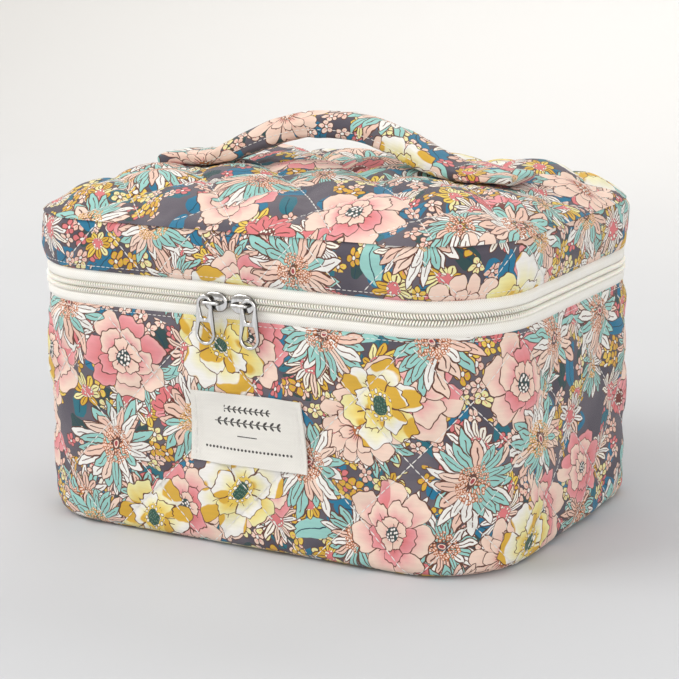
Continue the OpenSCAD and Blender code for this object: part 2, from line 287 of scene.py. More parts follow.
def tubes(name, paths, ups, wide, high, material, sides=6, ends=0.45):
    """Many short rods at once: paths and ups are (rod, station, 3) in millimetres."""
    rods, stations = paths.shape[:2]
    tangent = np.gradient(paths, axis=1)
    tangent /= np.linalg.norm(tangent, axis=-1, keepdims=True)
    side = np.cross(tangent, ups)
    side /= np.linalg.norm(side, axis=-1, keepdims=True)
    up = np.cross(side, tangent)
    taper = np.ones(stations)
    taper[0] = taper[-1] = ends
    angle = np.arange(sides) / sides * TURN
    around = side[:, :, None] * np.cos(angle)[None, None, :, None] * wide
    around = around + up[:, :, None] * np.sin(angle)[None, None, :, None] * high
    points = paths[:, :, None] + around * taper[None, :, None, None]
    index = np.arange(rods * stations * sides).reshape(rods, stations, sides)
    closed = np.concatenate([index, index[:, :, :1]], 2)
    quads = np.stack([closed[:, :-1, :-1], closed[:, :-1, 1:], closed[:, 1:, 1:], closed[:, 1:, :-1]], -1)
    faces = quads.reshape(-1, 4)[:, ::-1].tolist()
    faces += index[:, 0].tolist() + index[:, -1, ::-1].tolist()
    along = np.arange(stations)[None, :, None] + np.arange(rods)[:, None, None] * 7.0
    flat = pair(along * wide * 2, angle[None, None, :] * wide)
    return add_mesh(name, points, faces, material, flat, crease=80.0)


def stitch_paths(lines, pitch, length, stations=4):
    """Cuts polylines of (points, outward directions) into stitches of a length, pitch apart."""
    paths, ups = [], []
    for points, outward in lines:
        run = np.concatenate([[0], np.cumsum(np.linalg.norm(np.diff(points, axis=0), axis=1))])
        count = int((run[-1] - length) // pitch) + 1
        if count < 1:
            continue
        first = (run[-1] - (count - 1) * pitch - length) / 2
        at = first + np.arange(count)[:, None] * pitch + np.linspace(0, length, stations)[None, :]
        paths.append(np.stack([np.interp(at, run, points[:, k]) for k in range(3)], -1))
        ups.append(np.stack([np.interp(at, run, outward[:, k]) for k in range(3)], -1))
    return np.concatenate(paths), np.concatenate(ups)


# ---------------------------------------------------------------- sums in node trees

class Num:
    """A number that varies over a surface: a socket of a node tree, with arithmetic."""

    def __init__(self, tree, socket):
        self.tree = tree
        self.socket = socket

    def math(self, operation, *others):
        node = self.tree.nodes.new("ShaderNodeMath")
        node.operation = operation
        for slot, value in zip(node.inputs, (self,) + others):
            plug(self.tree, slot, value)
        return Num(self.tree, node.outputs[0])

    def __rsub__(self, other):
        return (self * -1.0).math("ADD", other)

    def ramp(self, low, high):
        """0 below low, 1 above high, straight between them."""
        node = self.tree.nodes.new("ShaderNodeMapRange")
        for slot, value in (("Value", self), ("From Min", low), ("From Max", high)):
            plug(self.tree, node.inputs[slot], value)
        return Num(self.tree, node.outputs["Result"])


OPERATIONS = {
    "__add__": "ADD", "__radd__": "ADD", "__sub__": "SUBTRACT", "__mul__": "MULTIPLY", "__rmul__": "MULTIPLY",
    "__truediv__": "DIVIDE", "__lt__": "LESS_THAN", "__gt__": "GREATER_THAN", "max": "MAXIMUM",
    "abs": "ABSOLUTE", "round": "ROUND", "fract": "FRACT", "sqrt": "SQRT", "power": "POWER",
    "sin": "SINE", "cos": "COSINE", "arctan": "ARCTAN2",
}


def method_for(operation):
    def method(self, *others):
        return self.math(operation, *others)
    return method


for method_name, operation_name in OPERATIONS.items():
    setattr(Num, method_name, method_for(operation_name))


def plug(tree, slot, value):
    """Links a value to a socket of a node, or sets the socket to it."""
    if isinstance(value, Num):
        tree.links.new(value.socket, slot)
    elif isinstance(value, bpy.types.NodeSocket):
        tree.links.new(value, slot)
    elif isinstance(value, tuple) and slot.type == "RGBA":
        slot.default_value = (*value, 1.0)
    else:
        slot.default_value = value


def mix(tree, share, low, high):
    """Colour low where share is 0, colour high where it is 1."""
    node = tree.nodes.new("ShaderNodeMix")
    node.data_type = "RGBA"
    plug(tree, node.inputs["Factor"], share)
    plug(tree, node.inputs[6], low)
    plug(tree, node.inputs[7], high)
    return node.outputs[2]


def vector_math(tree, operation, a, b):
    node = tree.nodes.new("ShaderNodeVectorMath")
    node.operation = operation
    plug(tree, node.inputs[0], a)
    plug(tree, node.inputs[1], b)
    return node.outputs[0]


def vector(tree, x, y):
    node = tree.nodes.new("ShaderNodeCombineXYZ")
    plug(tree, node.inputs[0], x)
    plug(tree, node.inputs[1], y)
    return node.outputs[0]


def parts(tree, value, kind="ShaderNodeSeparateXYZ"):
    node = tree.nodes.new(kind)
    tree.links.new(value, node.inputs[0])
    return [Num(tree, s) for s in node.outputs]


def noise(tree, at, size, detail=0.0, roughness=0.5, seed=0.0):
    """(value, colour) of soft noise with features of a size, in the units of at."""
    node = tree.nodes.new("ShaderNodeTexNoise")
    node.noise_dimensions = "2D"
    node.inputs["Scale"].default_value = 1.0 / size
    node.inputs["Detail"].default_value = detail
    node.inputs["Roughness"].default_value = roughness
    if seed:
        at = vector_math(tree, "ADD", at, (seed * 37.0, seed * 23.0, 0.0))
    plug(tree, node.inputs["Vector"], at)
    return Num(tree, node.outputs[0]), node.outputs[1]


def cells(tree, at, pitch, jitter):
    """Scattered points, on average a pitch apart: the nearest one's place, distance and random colour."""
    node = tree.nodes.new("ShaderNodeTexVoronoi")
    node.voronoi_dimensions = "2D"
    node.inputs["Scale"].default_value = 1.0 / pitch
    node.inputs["Randomness"].default_value = jitter
    plug(tree, node.inputs["Vector"], at)
    return node


def srgb(text):
    """A linear colour from its hexadecimal sRGB name."""
    values = [int(text[i:i + 2], 16) / 255 for i in (0, 2, 4)]
    return tuple(v / 12.92 if v <= 0.04045 else ((v + 0.055) / 1.055) ** 2.4 for v in values)


# ---------------------------------------------------------------- the floral print

INK, SLATE, DUSK = srgb("62392c"), srgb("655f69"), srgb("524d59")
NIGHT, TEAL, PETROL, AQUA = srgb("2c4a4c"), srgb("1f769a"), srgb("256f80"), srgb("9bd0ca")
BLUSH, PEACH, CORAL, ROSE = srgb("efcab9"), srgb("f4d8c8"), srgb("df7a7e"), srgb("ea9ba0")
GOLD, SUN, LEMON = srgb("dcae3a"), srgb("eccb57"), srgb("efe8aa")
CREAM, WHITE, OCHRE, RUST = srgb("f6f0e4"), srgb("f3f1ed"), srgb("cc9536"), srgb("b8693a")
MAROON, UMBER, VEIN = srgb("a8474c"), srgb("7a3a35"), srgb("143f52")
MOSS, FOREST = srgb("4f8a78"), srgb("235549")

# Flower sizes below are in the pattern's own millimetres; the cloth is printed this much larger.
PRINT_SCALE = 1.42
# Which part of the scatter of dots shows in the middle of a flower
DOTS_AWAY = 500.0


class Bloom:
    """The nearest flower of a scattered layer: where a point lies in it, and its own random numbers."""

    def __init__(self, tree, at, pitch, offset, jitter=0.5, squash=0.35):
        self.tree = tree
        moved = vector_math(tree, "ADD", at, (offset[0], offset[1], 0.0))
        nearest = cells(tree, moved, pitch, jitter)
        self.luck = parts(tree, nearest.outputs["Color"], "ShaderNodeSeparateColor")
        x, y, _ = parts(tree, vector_math(tree, "SUBTRACT", moved, nearest.outputs["Position"]))
        turn = self.luck[0] * TURN
        c, s = turn.cos(), turn.sin()
        self.x = x * c - y * s
        self.y = (x * s + y * c) * (self.luck[1] * squash + 1.0)
        self.radius = (self.x * self.x + self.y * self.y).sqrt()
        self.angle = self.y.arctan(self.x)

    def chance(self, share):
        return self.luck[2] < share

    def petals(self, count, twist=0.0):
        """How far a point is off its petal's middle, as a share of a petal, and the petal's random number."""
        turns = self.angle * (count / TURN) + (count + twist)
        number = turns.round()
        node = self.tree.nodes.new("ShaderNodeTexWhiteNoise")
        node.noise_dimensions = "2D"
        wrapped = (number / float(count)).fract() * 7.31 + twist
        plug(self.tree, node.inputs["Vector"], vector(self.tree, wrapped, self.luck[2]))
        return turns - number, Num(self.tree, node.outputs["Value"])


def pick(tree, value, colours):
    """One of the colours, chosen by a number from 0 to 1."""
    out = colours[0]
    for i, colour in enumerate(colours[1:], 1):
        out = mix(tree, value > i / len(colours), out, colour)
    return out


def stamens(bloom, pitch, size, dot, ground):
    """A disc of small round dots."""
    tree = bloom.tree
    where = vector(tree, bloom.x + DOTS_AWAY, bloom.y + DOTS_AWAY)
    gap = Num(tree, cells(tree, where, pitch, 0.5).outputs["Distance"]) * pitch
    return mix(tree, gap < size, mix(tree, gap < size * 1.35, ground, INK), dot)


def narrow_tier(bloom, under, shown, count, r_in, r_out, half_width, colours, twist=0.0):
    """Long separate pointed petals with an inked edge and a middle vein."""
    tree = bloom.tree
    off, luck = bloom.petals(count, twist)
    swing = (off + (luck - 0.5) * 0.22) * (TURN / count)
    length = (luck * 0.3 + 0.7) * r_out
    across = (bloom.radius * swing.sin()).abs()
    along = bloom.radius * swing.cos()
    middle, half = (length + r_in) * 0.5, (length - r_in) * 0.5
    share = (along - middle) / half
    inside = (1.0 - share * share).max(0.0).power(0.8) * (share * 0.34 + 1.0) * half_width - across
    colour = pick(tree, (luck * 7.3).fract(), colours)
    rib = (across < 0.14) * (along < middle + half * 0.6) * (along > middle - half * 0.5)
    colour = mix(tree, rib, colour, INK)
    colour = mix(tree, inside < 0.36, colour, INK)
    return mix(tree, (inside > 0.0) * shown, under, colour)


def broad_tier(bloom, under, shown, count, r_out, shades, twist, ruffle, depth, veins, turned=0.0, wash=None):
    """Broad overlapping petals that shade from root to tip; the turned share shows more root colour."""
    tree = bloom.tree
    root, middle, tip = shades
    off, luck = bloom.petals(count, twist)
    share = off.abs() * 2.0
    wave = ((bloom.angle * 11.0 + luck * 9.0).sin() + (bloom.angle * 23.0).sin() * 0.6) * (ruffle * 0.5)
    reach = (luck * 0.14 + 0.86 - share.power(3.2) * depth) * r_out + wave
    inside = reach - bloom.radius
    seam = (0.5 - off.abs()) * bloom.radius * (TURN / count)
    height = bloom.radius / reach
    lift = height - (luck < turned) * 0.34 if turned else height
    colour = mix(tree, lift.ramp(0.2, 0.6), root, middle)
    colour = mix(tree, (lift + luck * 0.2).ramp(0.62, 1.0), colour, tip)
    if wash:
        pool, _ = noise(tree, vector(tree, bloom.x + luck * 40.0, bloom.y), 9.0)
        colour = mix(tree, pool.ramp(0.57, 0.61), colour, wash)
    stroke = ((off * float(veins)).fract() - 0.5).abs() * bloom.radius * (TURN / count / veins)
    end = (off * 7.0 + luck * 5.0).sin() * 0.12 + 0.52
    colour = mix(tree, (stroke < 0.12) * (height < end) * (height > 0.2), colour, INK)
    colour = mix(tree, (inside < 0.34).max(seam < 0.187), colour, INK)
    return mix(tree, (inside > 0.0) * shown, under, colour)


def leaves(tree, at, under, pitch, offset, share, width, length, colours, rib):
    """Single curved leaves with a drawn middle rib."""
    bloom = Bloom(tree, at, pitch, offset, 0.75, 0.0)
    bend = bloom.x + bloom.y * bloom.y * 0.03
    shape = 1.0 - (bend / width).power(2.0) - (bloom.y / length).power(2.0)
    colour = pick(tree, bloom.luck[1], colours)
    colour = mix(tree, (bend.abs() < 0.15) * (bloom.y > -0.6 * length), colour, rib)
    return mix(tree, (shape > 0.0) * bloom.chance(share), under, colour)


def posies(tree, at, under, pitch, offset, share, colours):
    """Clusters of small five-petalled flowers."""
    bloom = Bloom(tree, at, pitch, offset, 0.6, 0.2)
    patch, _ = noise(tree, at, 24.0, seed=offset[0])
    off, _ = bloom.petals(5)
    inside = ((off * math.pi).cos().abs() * 0.42 + 0.6) * (pitch * 0.47) - bloom.radius
    seam = (0.5 - off.abs()) * bloom.radius * (TURN / 5)
    colour = pick(tree, bloom.luck[2], colours)
    colour = mix(tree, (bloom.radius < pitch * 0.27) * (off.abs() < 0.06), colour, CORAL)
    colour = mix(tree, (inside < 0.3).max(seam < 0.2), colour, INK)
    colour = mix(tree, bloom.radius < pitch * 0.12, colour, INK)
    colour = mix(tree, bloom.radius < pitch * 0.085, colour, WHITE)
    return mix(tree, (inside > 0.0) * (patch > share), under, colour)


def daisies(tree, at, under, pitch, offset, share, count, size, width, colours, heart, dots):
    """One ring of narrow petals round a dotted heart."""
    bloom = Bloom(tree, at, pitch, offset)
    shown = bloom.chance(share)
    out = narrow_tier(bloom, under, shown, count, size * 0.12, size, width, colours)
    core = mix(tree, bloom.radius < size * 0.17, stamens(bloom, 1.25, 0.36, dots, heart), heart)
    return mix(tree, (bloom.radius < size * 0.33) * shown, out, core)


def asters(tree, at, under, pitch, offset, share, size, colours, disc):
    """Two rings of long narrow petals round a wide disc."""
    bloom = Bloom(tree, at, pitch, offset)
    shown = bloom.chance(share)
    out = narrow_tier(bloom, under, shown, 17, 2.0, size, size * 0.1, colours, 0.5)
    out = narrow_tier(bloom, out, shown, 15, 1.0, size * 0.82, size * 0.092, colours)
    # The middle is a loose ring of small pale dots with rust rims round one red dot.
    where = vector(tree, bloom.x + DOTS_AWAY, bloom.y + DOTS_AWAY)
    gap = Num(tree, cells(tree, where, 1.12, 0.7).outputs["Distance"]) * 1.12
    wander, _ = noise(tree, where, 3.0)
    ring = 1.0 - (bloom.radius - disc * 0.72).abs() / (disc * 0.42) + (wander - 0.5) * 1.2
    dots = mix(tree, gap < 0.27, pick(tree, bloom.luck[1], [RUST, OCHRE]), PEACH)
    out = mix(tree, (ring > 0.12) * (gap < 0.52) * shown, out, dots)
    heart = mix(tree, bloom.radius < disc * 0.2, INK, PEACH)
    heart = mix(tree, bloom.radius < disc * 0.13, heart, MAROON)
    return mix(tree, (bloom.radius < disc * 0.24) * shown, out, heart)


def anemones(tree, at, under, pitch, offset, share):
    """Yellow and white flowers, splashed with gold, with a green heart."""
    bloom = Bloom(tree, at, pitch, offset, 0.5, 0.3)
    shown = bloom.chance(share)
    size = bloom.luck[1] * 5.0
    shades = (SUN, LEMON, WHITE)
    out = broad_tier(bloom, under, shown, 6, size + 13.0, shades, 0.5, 1.1, 0.26, 5, 0.3, GOLD)
    out = broad_tier(bloom, out, shown, 5, size * 0.7 + 8.0, shades, 0.0, 0.8, 0.28, 3, 0.2, GOLD)
    out = mix(tree, (bloom.radius < 4.1) * shown, out, stamens(bloom, 1.5, 0.46, CREAM, SUN))
    return mix(tree, (bloom.radius < 2.4) * shown, out, stamens(bloom, 0.8, 0.2, MOSS, FOREST))


def peonies(tree, at, under, pitch, offset, share):
    """Three rings of pink petals round a dark heart."""
    bloom = Bloom(tree, at, pitch, offset, 0.5, 0.4)
    shown = bloom.chance(share)
    out = broad_tier(bloom, under, shown, 7, 15.5, (CORAL, ROSE, PEACH), 0.5, 0.9, 0.2, 4, 0.45)
    out = broad_tier(bloom, out, shown, 5, 10.4, (CORAL, ROSE, PEACH), 0.0, 0.7, 0.22, 3, 0.4)
    out = broad_tier(bloom, out, shown, 5, 6.0, (ROSE, BLUSH, PEACH), 0.5, 0.4, 0.2, 3)
    return mix(tree, (bloom.radius < 2.5) * shown, out, stamens(bloom, 1.2, 0.38, WHITE, NIGHT))


def dahlias(tree, at, under, pitch, offset, share):
    """Two rings of small pink petals round a rust-coloured heart."""
    bloom = Bloom(tree, at, pitch, offset)
    shown = bloom.chance(share)
    out = broad_tier(bloom, under, shown, 11, 13.6, (CORAL, BLUSH, PEACH), 0.5, 0.3, 0.3, 3)
    out = broad_tier(bloom, out, shown, 9, 8.4, (CORAL, BLUSH, PEACH), 0.0, 0.3, 0.34, 3)
    return mix(tree, (bloom.radius < 2.8) * shown, out, stamens(bloom, 1.3, 0.4, CREAM, RUST))


def floral(tree, at):
    """The printed pattern's colour at a place on the cloth, in millimetres."""
    at = vector_math(tree, "MULTIPLY", at, (1 / PRINT_SCALE, 1 / PRINT_SCALE, 0.0))
    _, drift = noise(tree, at, 11.0, 3.0, 0.45)
    drift = vector_math(tree, "SUBTRACT", drift, (0.5, 0.5, 0.5))
    at = vector_math(tree, "ADD", at, vector_math(tree, "MULTIPLY", drift, (4.6, 4.6, 0.0)))
    tone, _ = noise(tree, at, 18.0)
    out = mix(tree, tone.ramp(0.4, 0.62), SLATE, DUSK)
    # Flower, pitch, offset, share of the places that are taken, and the flower's own sizes and colours
    layers = (
        (leaves, 10.0, (3.0, 8.0), 0.85, 2.7, 5.0, [TEAL, PETROL, NIGHT, TEAL], VEIN),
        (posies, 5.6, (11.0, 5.0), 0.47, [BLUSH, PEACH, CORAL, PEACH]),
        (posies, 6.2, (2.0, 17.0), 0.53, [GOLD, LEMON, SUN]),
        (leaves, 19.0, (13.0, 3.0), 0.5, 3.0, 6.4, [TEAL, AQUA, TEAL], VEIN),
        (daisies, 19.0, (5.0, 9.0), 0.5, 9, 6.8, 1.35, [GOLD, SUN, LEMON], CORAL, CREAM),
        (daisies, 23.0, (15.0, 2.0), 0.74, 14, 9.6, 1.15, [WHITE, PEACH, WHITE, CREAM], CORAL, CREAM),
        (asters, 31.0, (3.0, 23.0), 0.7, 13.0, [AQUA, WHITE, AQUA, BLUSH], 4.0),
        (daisies, 33.0, (27.0, 12.0), 0.55, 13, 9.2, 2.0, [CORAL, ROSE, CORAL], UMBER, CREAM),
        (dahlias, 38.0, (17.0, 26.0), 0.55),
        (peonies, 41.0, (9.0, 31.0), 0.75),
        (asters, 39.0, (31.0, 7.0), 0.85, 17.5, [AQUA, BLUSH, WHITE, AQUA, PEACH, AQUA, WHITE], 5.0),
        (anemones, 42.0, (20.0, 40.0), 0.55),
    )
    for paint, pitch, offset, share, *rest in layers:
        out = paint(tree, at, out, pitch, offset, share, *rest)
    return out


# ---------------------------------------------------------------- materials

def finish_of(name, roughness, metallic=0.0, sheen=0.0):
    """(material, its node tree, its shader)"""
    material = bpy.data.materials.new(name)
    material.use_nodes = True
    shader = material.node_tree.nodes["Principled BSDF"]
    shader.inputs["Roughness"].default_value = roughness
    shader.inputs["Metallic"].default_value = metallic
    shader.inputs["Sheen Weight"].default_value = sheen
    return material, material.node_tree, shader


def cloth_place(tree):
    """Where a point lies on its flat cloth, in millimetres."""
    node = tree.nodes.new("ShaderNodeAttribute")
    node.attribute_name = "cloth"
    return node.outputs["Vector"]


def coat(tree, shader, colour, roughness, height, depth):
    """Colour, roughness and bumps of a shader: the height is 0 to 1, and the depth of 1 is in millimetres."""
    plug(tree, shader.inputs["Base Color"], colour)
    plug(tree, shader.inputs["Roughness"], roughness)
    node = tree.nodes.new("ShaderNodeBump")
    node.inputs["Distance"].default_value = depth * MM
    plug(tree, node.inputs["Height"], height)
    tree.links.new(node.outputs[0], shader.inputs["Normal"])


def weave(x, y, pitch):
    """Over-and-under threads, from 0 to 1."""
    return (x * (TURN / pitch)).sin() * (y * (TURN / pitch)).sin() * 0.5 + 0.5


THREAD_DEPTH = 0.12


def cloth_material(name, colour, dark, pitch, roughness=0.85, crumple=0.3, sheen=0.2):
    """Plain woven cloth with slubs, crumples, faint soiling along the slubs and painted shade in the hollows
    of the weave; colour may be a function of (tree, place).
    """
    material, tree, shader = finish_of(name, roughness, sheen=sheen)
    at = cloth_place(tree)
    x, y, _ = parts(tree, at)
    threads = weave(x, y, pitch)
    slubs, _ = noise(tree, vector_math(tree, "MULTIPLY", at, (0.25, 2.2, 0.0)), 2.4, 2.0, seed=3.0)
    folds, _ = noise(tree, at, 5.5, 4.0, 0.55, seed=5.0)
    ground = colour(tree, at) if callable(colour) else colour
    deep = dark(tree, ground) if callable(dark) else dark
    # Painted shade: the ground darkens towards the dark colour in the weave's hollows, and faint soiling
    # darkens it along the slubs.
    shade = (threads * 0.4 + slubs * 0.6).ramp(0.75, 0.1) * 0.5
    depth = THREAD_DEPTH + crumple
    height = threads * (THREAD_DEPTH / depth) + folds * (crumple / depth)
    coat(tree, shader, mix(tree, shade, ground, deep), slubs * 0.14 + (roughness - 0.07), height, depth)
    return material


def darker(share):
    """For a printed cloth: the ground with a share of black, the colour of its painted shade and soiling."""
    def shade(tree, ground):
        return mix(tree, share, ground, (0.0, 0.0, 0.0))
    return shade


def herringbone(tree, at):
    """Woven zip tape: fine ribs that change direction in rows."""
    x, y, _ = parts(tree, at)
    way = ((y / 3.4).fract() > 0.5) * 2.0 - 1.0
    rib = ((x * way + y) / 0.95).fract() - 0.5
    return rib.abs() * 2.0


def tape_material():
    """Woven zip tape with painted shade: darker in the grooves between its ribs, and greyer where the teeth
    shade it.
    """
    material, tree, shader = finish_of("zip_tape_twill", 0.8, sheen=0.15)
    at = cloth_place(tree)
    rib = herringbone(tree, at)
    _, height, _ = parts(tree, at)
    patch, _ = noise(tree, at, 9.0, 2.0, seed=2.0)
    # Painted shade: the ribs are lighter on their crests and darker in the grooves.
    cord = mix(tree, rib.ramp(0.1, 0.75), srgb("e8e5de"), srgb("fbfaf6"))
    # Painted shade: greyer beside the teeth.
    cord = mix(tree, (height - SPLIT).abs().ramp(3.0, 2.0) * 0.75, cord, srgb("a39b8b"))
    cord = mix(tree, patch.ramp(0.35, 0.75) * 0.3, cord, srgb("efeade"))
    coat(tree, shader, cord, rib * -0.1 + 0.85, rib, 0.16)
    return material


def coil_material():
    """Nylon that lets a little light through."""
    material, tree, shader = finish_of("coil_nylon", 0.4)
    at = cloth_place(tree)
    patch, _ = noise(tree, at, 5.0, 3.0)
    coat(tree, shader, mix(tree, patch, srgb("fdfbf4"), srgb("f1ede2")), patch * 0.2 + 0.3, patch, 0.05)
    shader.inputs["Subsurface Weight"].default_value = 0.15
    shader.inputs["Subsurface Scale"].default_value = 0.8 * MM
    return material


def thread_material():
    """Spun thread, whose plies wind round it, with painted shade in the grooves between them."""
    material, tree, shader = finish_of("spun_thread", 0.65, sheen=0.3)
    x, y, _ = parts(tree, cloth_place(tree))
    ply = ((x * 1.6 + y * 3.0) * TURN).sin() * 0.5 + 0.5
    # Painted shade: lighter on the crests of the plies, darker in the grooves.
    coat(tree, shader, mix(tree, ply, srgb("e4e0da"), srgb("fbfaf8")), ply * -0.12 + 0.7, ply, 0.08)
    return material


def metal_material():
    """Nickel with painted shade in its hollows, from an ambient occlusion node, and a painted dark reflection
    on the rims that shade_rims marks.
    """
    material, tree, shader = finish_of("bright_nickel", 0.14, metallic=1.0)
    at = tree.nodes.new("ShaderNodeTexCoord").outputs["Object"]
    scratch = tree.nodes.new("ShaderNodeTexNoise")
    scratch.inputs["Scale"].default_value = 900.0
    scratch.inputs["Detail"].default_value = 3.0
    tree.links.new(vector_math(tree, "MULTIPLY", at, (1.0, 1.0, 0.15)), scratch.inputs["Vector"])
    wear = Num(tree, scratch.outputs[0])
    hollow = tree.nodes.new("ShaderNodeAmbientOcclusion")
    hollow.samples = 6
    hollow.inputs["Distance"].default_value = 1.6 * MM
    polish = mix(tree, wear.ramp(0.4, 0.7), srgb("efeeed"), srgb("cbc9c7"))
    rim, _, _ = parts(tree, cloth_place(tree))
    # Painted shade in the hollows and a painted dark reflection on rims that face sideways darken the
    # polished colour.
    shade = Num(tree, hollow.outputs["AO"]).ramp(0.1, 0.8) * (rim.ramp(0.1, 0.5) * -0.85 + 1.0)
    roughness = wear.ramp(0.4, 0.75) * 0.16 + 0.08
    coat(tree, shader, mix(tree, shade, srgb("2b2826"), polish), roughness, wear, 0.012)
    return material


def label_face(tree, at):
    """Off-white twill with a small printed ornament: two leafy sprigs, a short rule and a row of dots."""
    x, y, _ = parts(tree, at)
    twill = ((x + y * 0.7) / 0.8).fract()
    ground = mix(tree, twill.ramp(0.2, 0.9), srgb("efede8"), srgb("e6e3dc"))
    rule = ((y + 2.6).abs() < 0.22) * (x.abs() < 4.6)
    dot = (((x / 1.7).fract() - 0.5) * 1.7).power(2.0) + (y + 8.2).power(2.0)
    marks = rule.max((dot < 0.3) * (x.abs() < 20.0))
    for height, half, pitch, size in ((8.2, 11.0, 2.6, 1.0), (2.9, 15.5, 3.1, 1.2)):
        rise = y - height
        lean = (x / pitch).fract() * pitch - pitch / 2 - rise.abs() * 0.75
        leaf = (lean * (1.55 / size)).power(2.0) + ((rise.abs() - size * 0.75) * (1.25 / size)).power(2.0)
        marks = marks.max((leaf < 0.75).max(rise.abs() < 0.2) * (x.abs() < half))
    fray, _ = noise(tree, at, 0.35)
    return mix(tree, marks * fray.ramp(0.05, 0.35), ground, srgb("312e2d"))


PRINT = cloth_material("print_cotton", floral, darker(0.28), 0.55, 0.86, crumple=0.22, sheen=0.12)
LINING = cloth_material("lining_cotton", srgb("efe9dc"), srgb("cfc6b4"), 0.6, 0.86)
BINDING = cloth_material("binding_tape", srgb("f4f0e7"), srgb("d0c8b8"), 0.9, 0.82, crumple=0.15)
LABEL = cloth_material("label_twill", label_face, darker(0.16), 0.45, 0.85, crumple=0.1)
TAPE, COIL, THREAD, METAL = tape_material(), coil_material(), thread_material(), metal_material()


# ---------------------------------------------------------------- filling

# The simulated sheet is this much larger than life, where the cloth settings behave like those of real cloth.
SIM_SCALE = 25.0
SIM_FRAMES = 20
FILL_STEP = 2.5
FILLS = {}


def billow(points, held, push, cap, seed):
    """How far a sewn sheet swells along its normals when it is filled: a cloth simulation.

    points is a grid of places on the sheet, and held is 1 along the stitching, where the sheet can't move.
    The result is a grid of millimetres.
    """
    rows, columns = held.shape
    jitter = 0.12 * np.random.default_rng(seed).standard_normal(held.shape) * (1 - held)
    normals = np.cross(np.gradient(points, axis=1), np.gradient(points, axis=0))
    normals /= np.linalg.norm(normals, axis=-1, keepdims=True)
    start = points + normals * jitter[..., None]
    mesh = bpy.data.meshes.new("filling")
    faces = grid_faces(np.arange(rows * columns).reshape(rows, columns))
    mesh.from_pydata((start * MM * SIM_SCALE).reshape(-1, 3).tolist(), [], faces)
    sheet = bpy.data.objects.new("filling", mesh)
    bpy.context.scene.collection.objects.link(sheet)
    group = sheet.vertex_groups.new(name="held")
    for number, weight in enumerate(held.ravel().tolist()):
        group.add([number], weight, "REPLACE")
    cloth = sheet.modifiers.new("filling", "CLOTH")
    cloth.settings.quality = 4
    cloth.settings.mass = 0.1
    cloth.settings.tension_stiffness = cloth.settings.compression_stiffness = 12.0
    cloth.settings.shear_stiffness = 4.0
    cloth.settings.bending_stiffness = 0.15
    cloth.settings.shrink_min = -0.07
    cloth.settings.use_pressure = True
    cloth.settings.uniform_pressure_force = push
    cloth.settings.vertex_group_mass = "held"
    cloth.settings.effector_weights.gravity = 0.0
    cloth.collision_settings.use_collision = False
    cloth.point_cache.frame_start, cloth.point_cache.frame_end = 1, SIM_FRAMES
    for number in range(1, SIM_FRAMES + 1):
        bpy.context.scene.frame_set(number)
    settled = sheet.evaluated_get(bpy.context.evaluated_depsgraph_get()).to_mesh()
    got = np.zeros(rows * columns * 3, np.float32)
    settled.vertices.foreach_get("co", got)
    bpy.data.objects.remove(sheet)
    bpy.context.scene.frame_set(1)
    moved = got.reshape(rows, columns, 3) / (MM * SIM_SCALE) - points
    swell = (moved * normals).sum(-1)
    return cap * np.tanh(np.maximum(swell, -0.3 * cap) / (1.6 * cap))


def filled(panel, i, j):
    """Swell of a panel at fractional rows and columns of its filling, 0 before it is filled."""
    if panel not in FILLS:
        return 0.0
    grid = FILLS[panel]
    i, j = np.clip(i, 0, grid.shape[0] - 1.001), np.clip(j, 0, grid.shape[1] - 1.001)
    i0, j0 = i.astype(int), j.astype(int)
    u, v = i - i0, j - j0
    return ((grid[i0, j0] * (1 - v) + grid[i0, j0 + 1] * v) * (1 - u)
            + (grid[i0 + 1, j0] * (1 - v) + grid[i0 + 1, j0 + 1] * v) * u)


# ---------------------------------------------------------------- wall and back

# Where on the printed cloth each panel is cut
CUT_FROM = {"wall": (40.0, 180.0), "back": (0.0, 4.0), "band": (170.0, 40.0), "top": (480.0, 260.0),
            "base": (820.0, 90.0), "handle": (600.0, 330.0)}

LABEL_WIDE, LABEL_HIGH = 53.0, 29.0
LABEL_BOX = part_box("label")
LABEL_X = (LABEL_BOX[0].x + LABEL_BOX[1].x) / 2 / MM + 2.2
LABEL_Z = (LABEL_BOX[0].z + LABEL_BOX[1].z) / 2 / MM

# Height on the flat cloth of the wall's upper edge, and the cloth's length from there to the base
WALL_CLOTH = WALL_TOP - HEM + HEM_ARC
WALL_V = WALL_CLOTH - ROLL_Z + ROLL_ARC
# The back panel and what is sewn to it reach from the base to the lid over this stretch; belongs only bakes
# their transforms.
STRETCH = ("base", "lid", (0, 0.084, 0.0965), (0, 0.084, 0.1085))


def cut(panel, x, y):
    """Places on the printed cloth, from places on one of its panels."""
    from_x, from_y = CUT_FROM[panel]
    return pair(x + from_x, y + from_y)


def wall_quilting(s, z):
    """Height of the quilted face over the plain wall at distance s and cloth height z."""
    puff = 0.9 * quilt_puff(WALL_QUILT, s, z) + 0.25 * puckers(WALL_QUILT, s, z, 3)
    puff = puff + filled("wall", (s + BACK_S) / FILL_STEP, (WALL_CLOTH - z) / FILL_STEP)
    free = smooth(z, WALL_TOP + 0.5, WALL_TOP - 9) * smooth(z, ROLL_Z - ROLL_ARC, ROLL_Z - ROLL_ARC + 7)
    free = free * smooth(BACK_S - np.abs(s), 0, 6)
    sewn = smooth(np.abs(s - LABEL_X), LABEL_WIDE / 2 + 3, LABEL_WIDE / 2 - 3)
    sewn = sewn * smooth(np.abs(z - LABEL_Z), LABEL_HIGH / 2 + 3, LABEL_HIGH / 2 - 3)
    return puff * free * (1 - 0.45 * sewn) + 0.45 * ripple(s, z, 27.0, 8) * free - 0.35 * (1 - free)


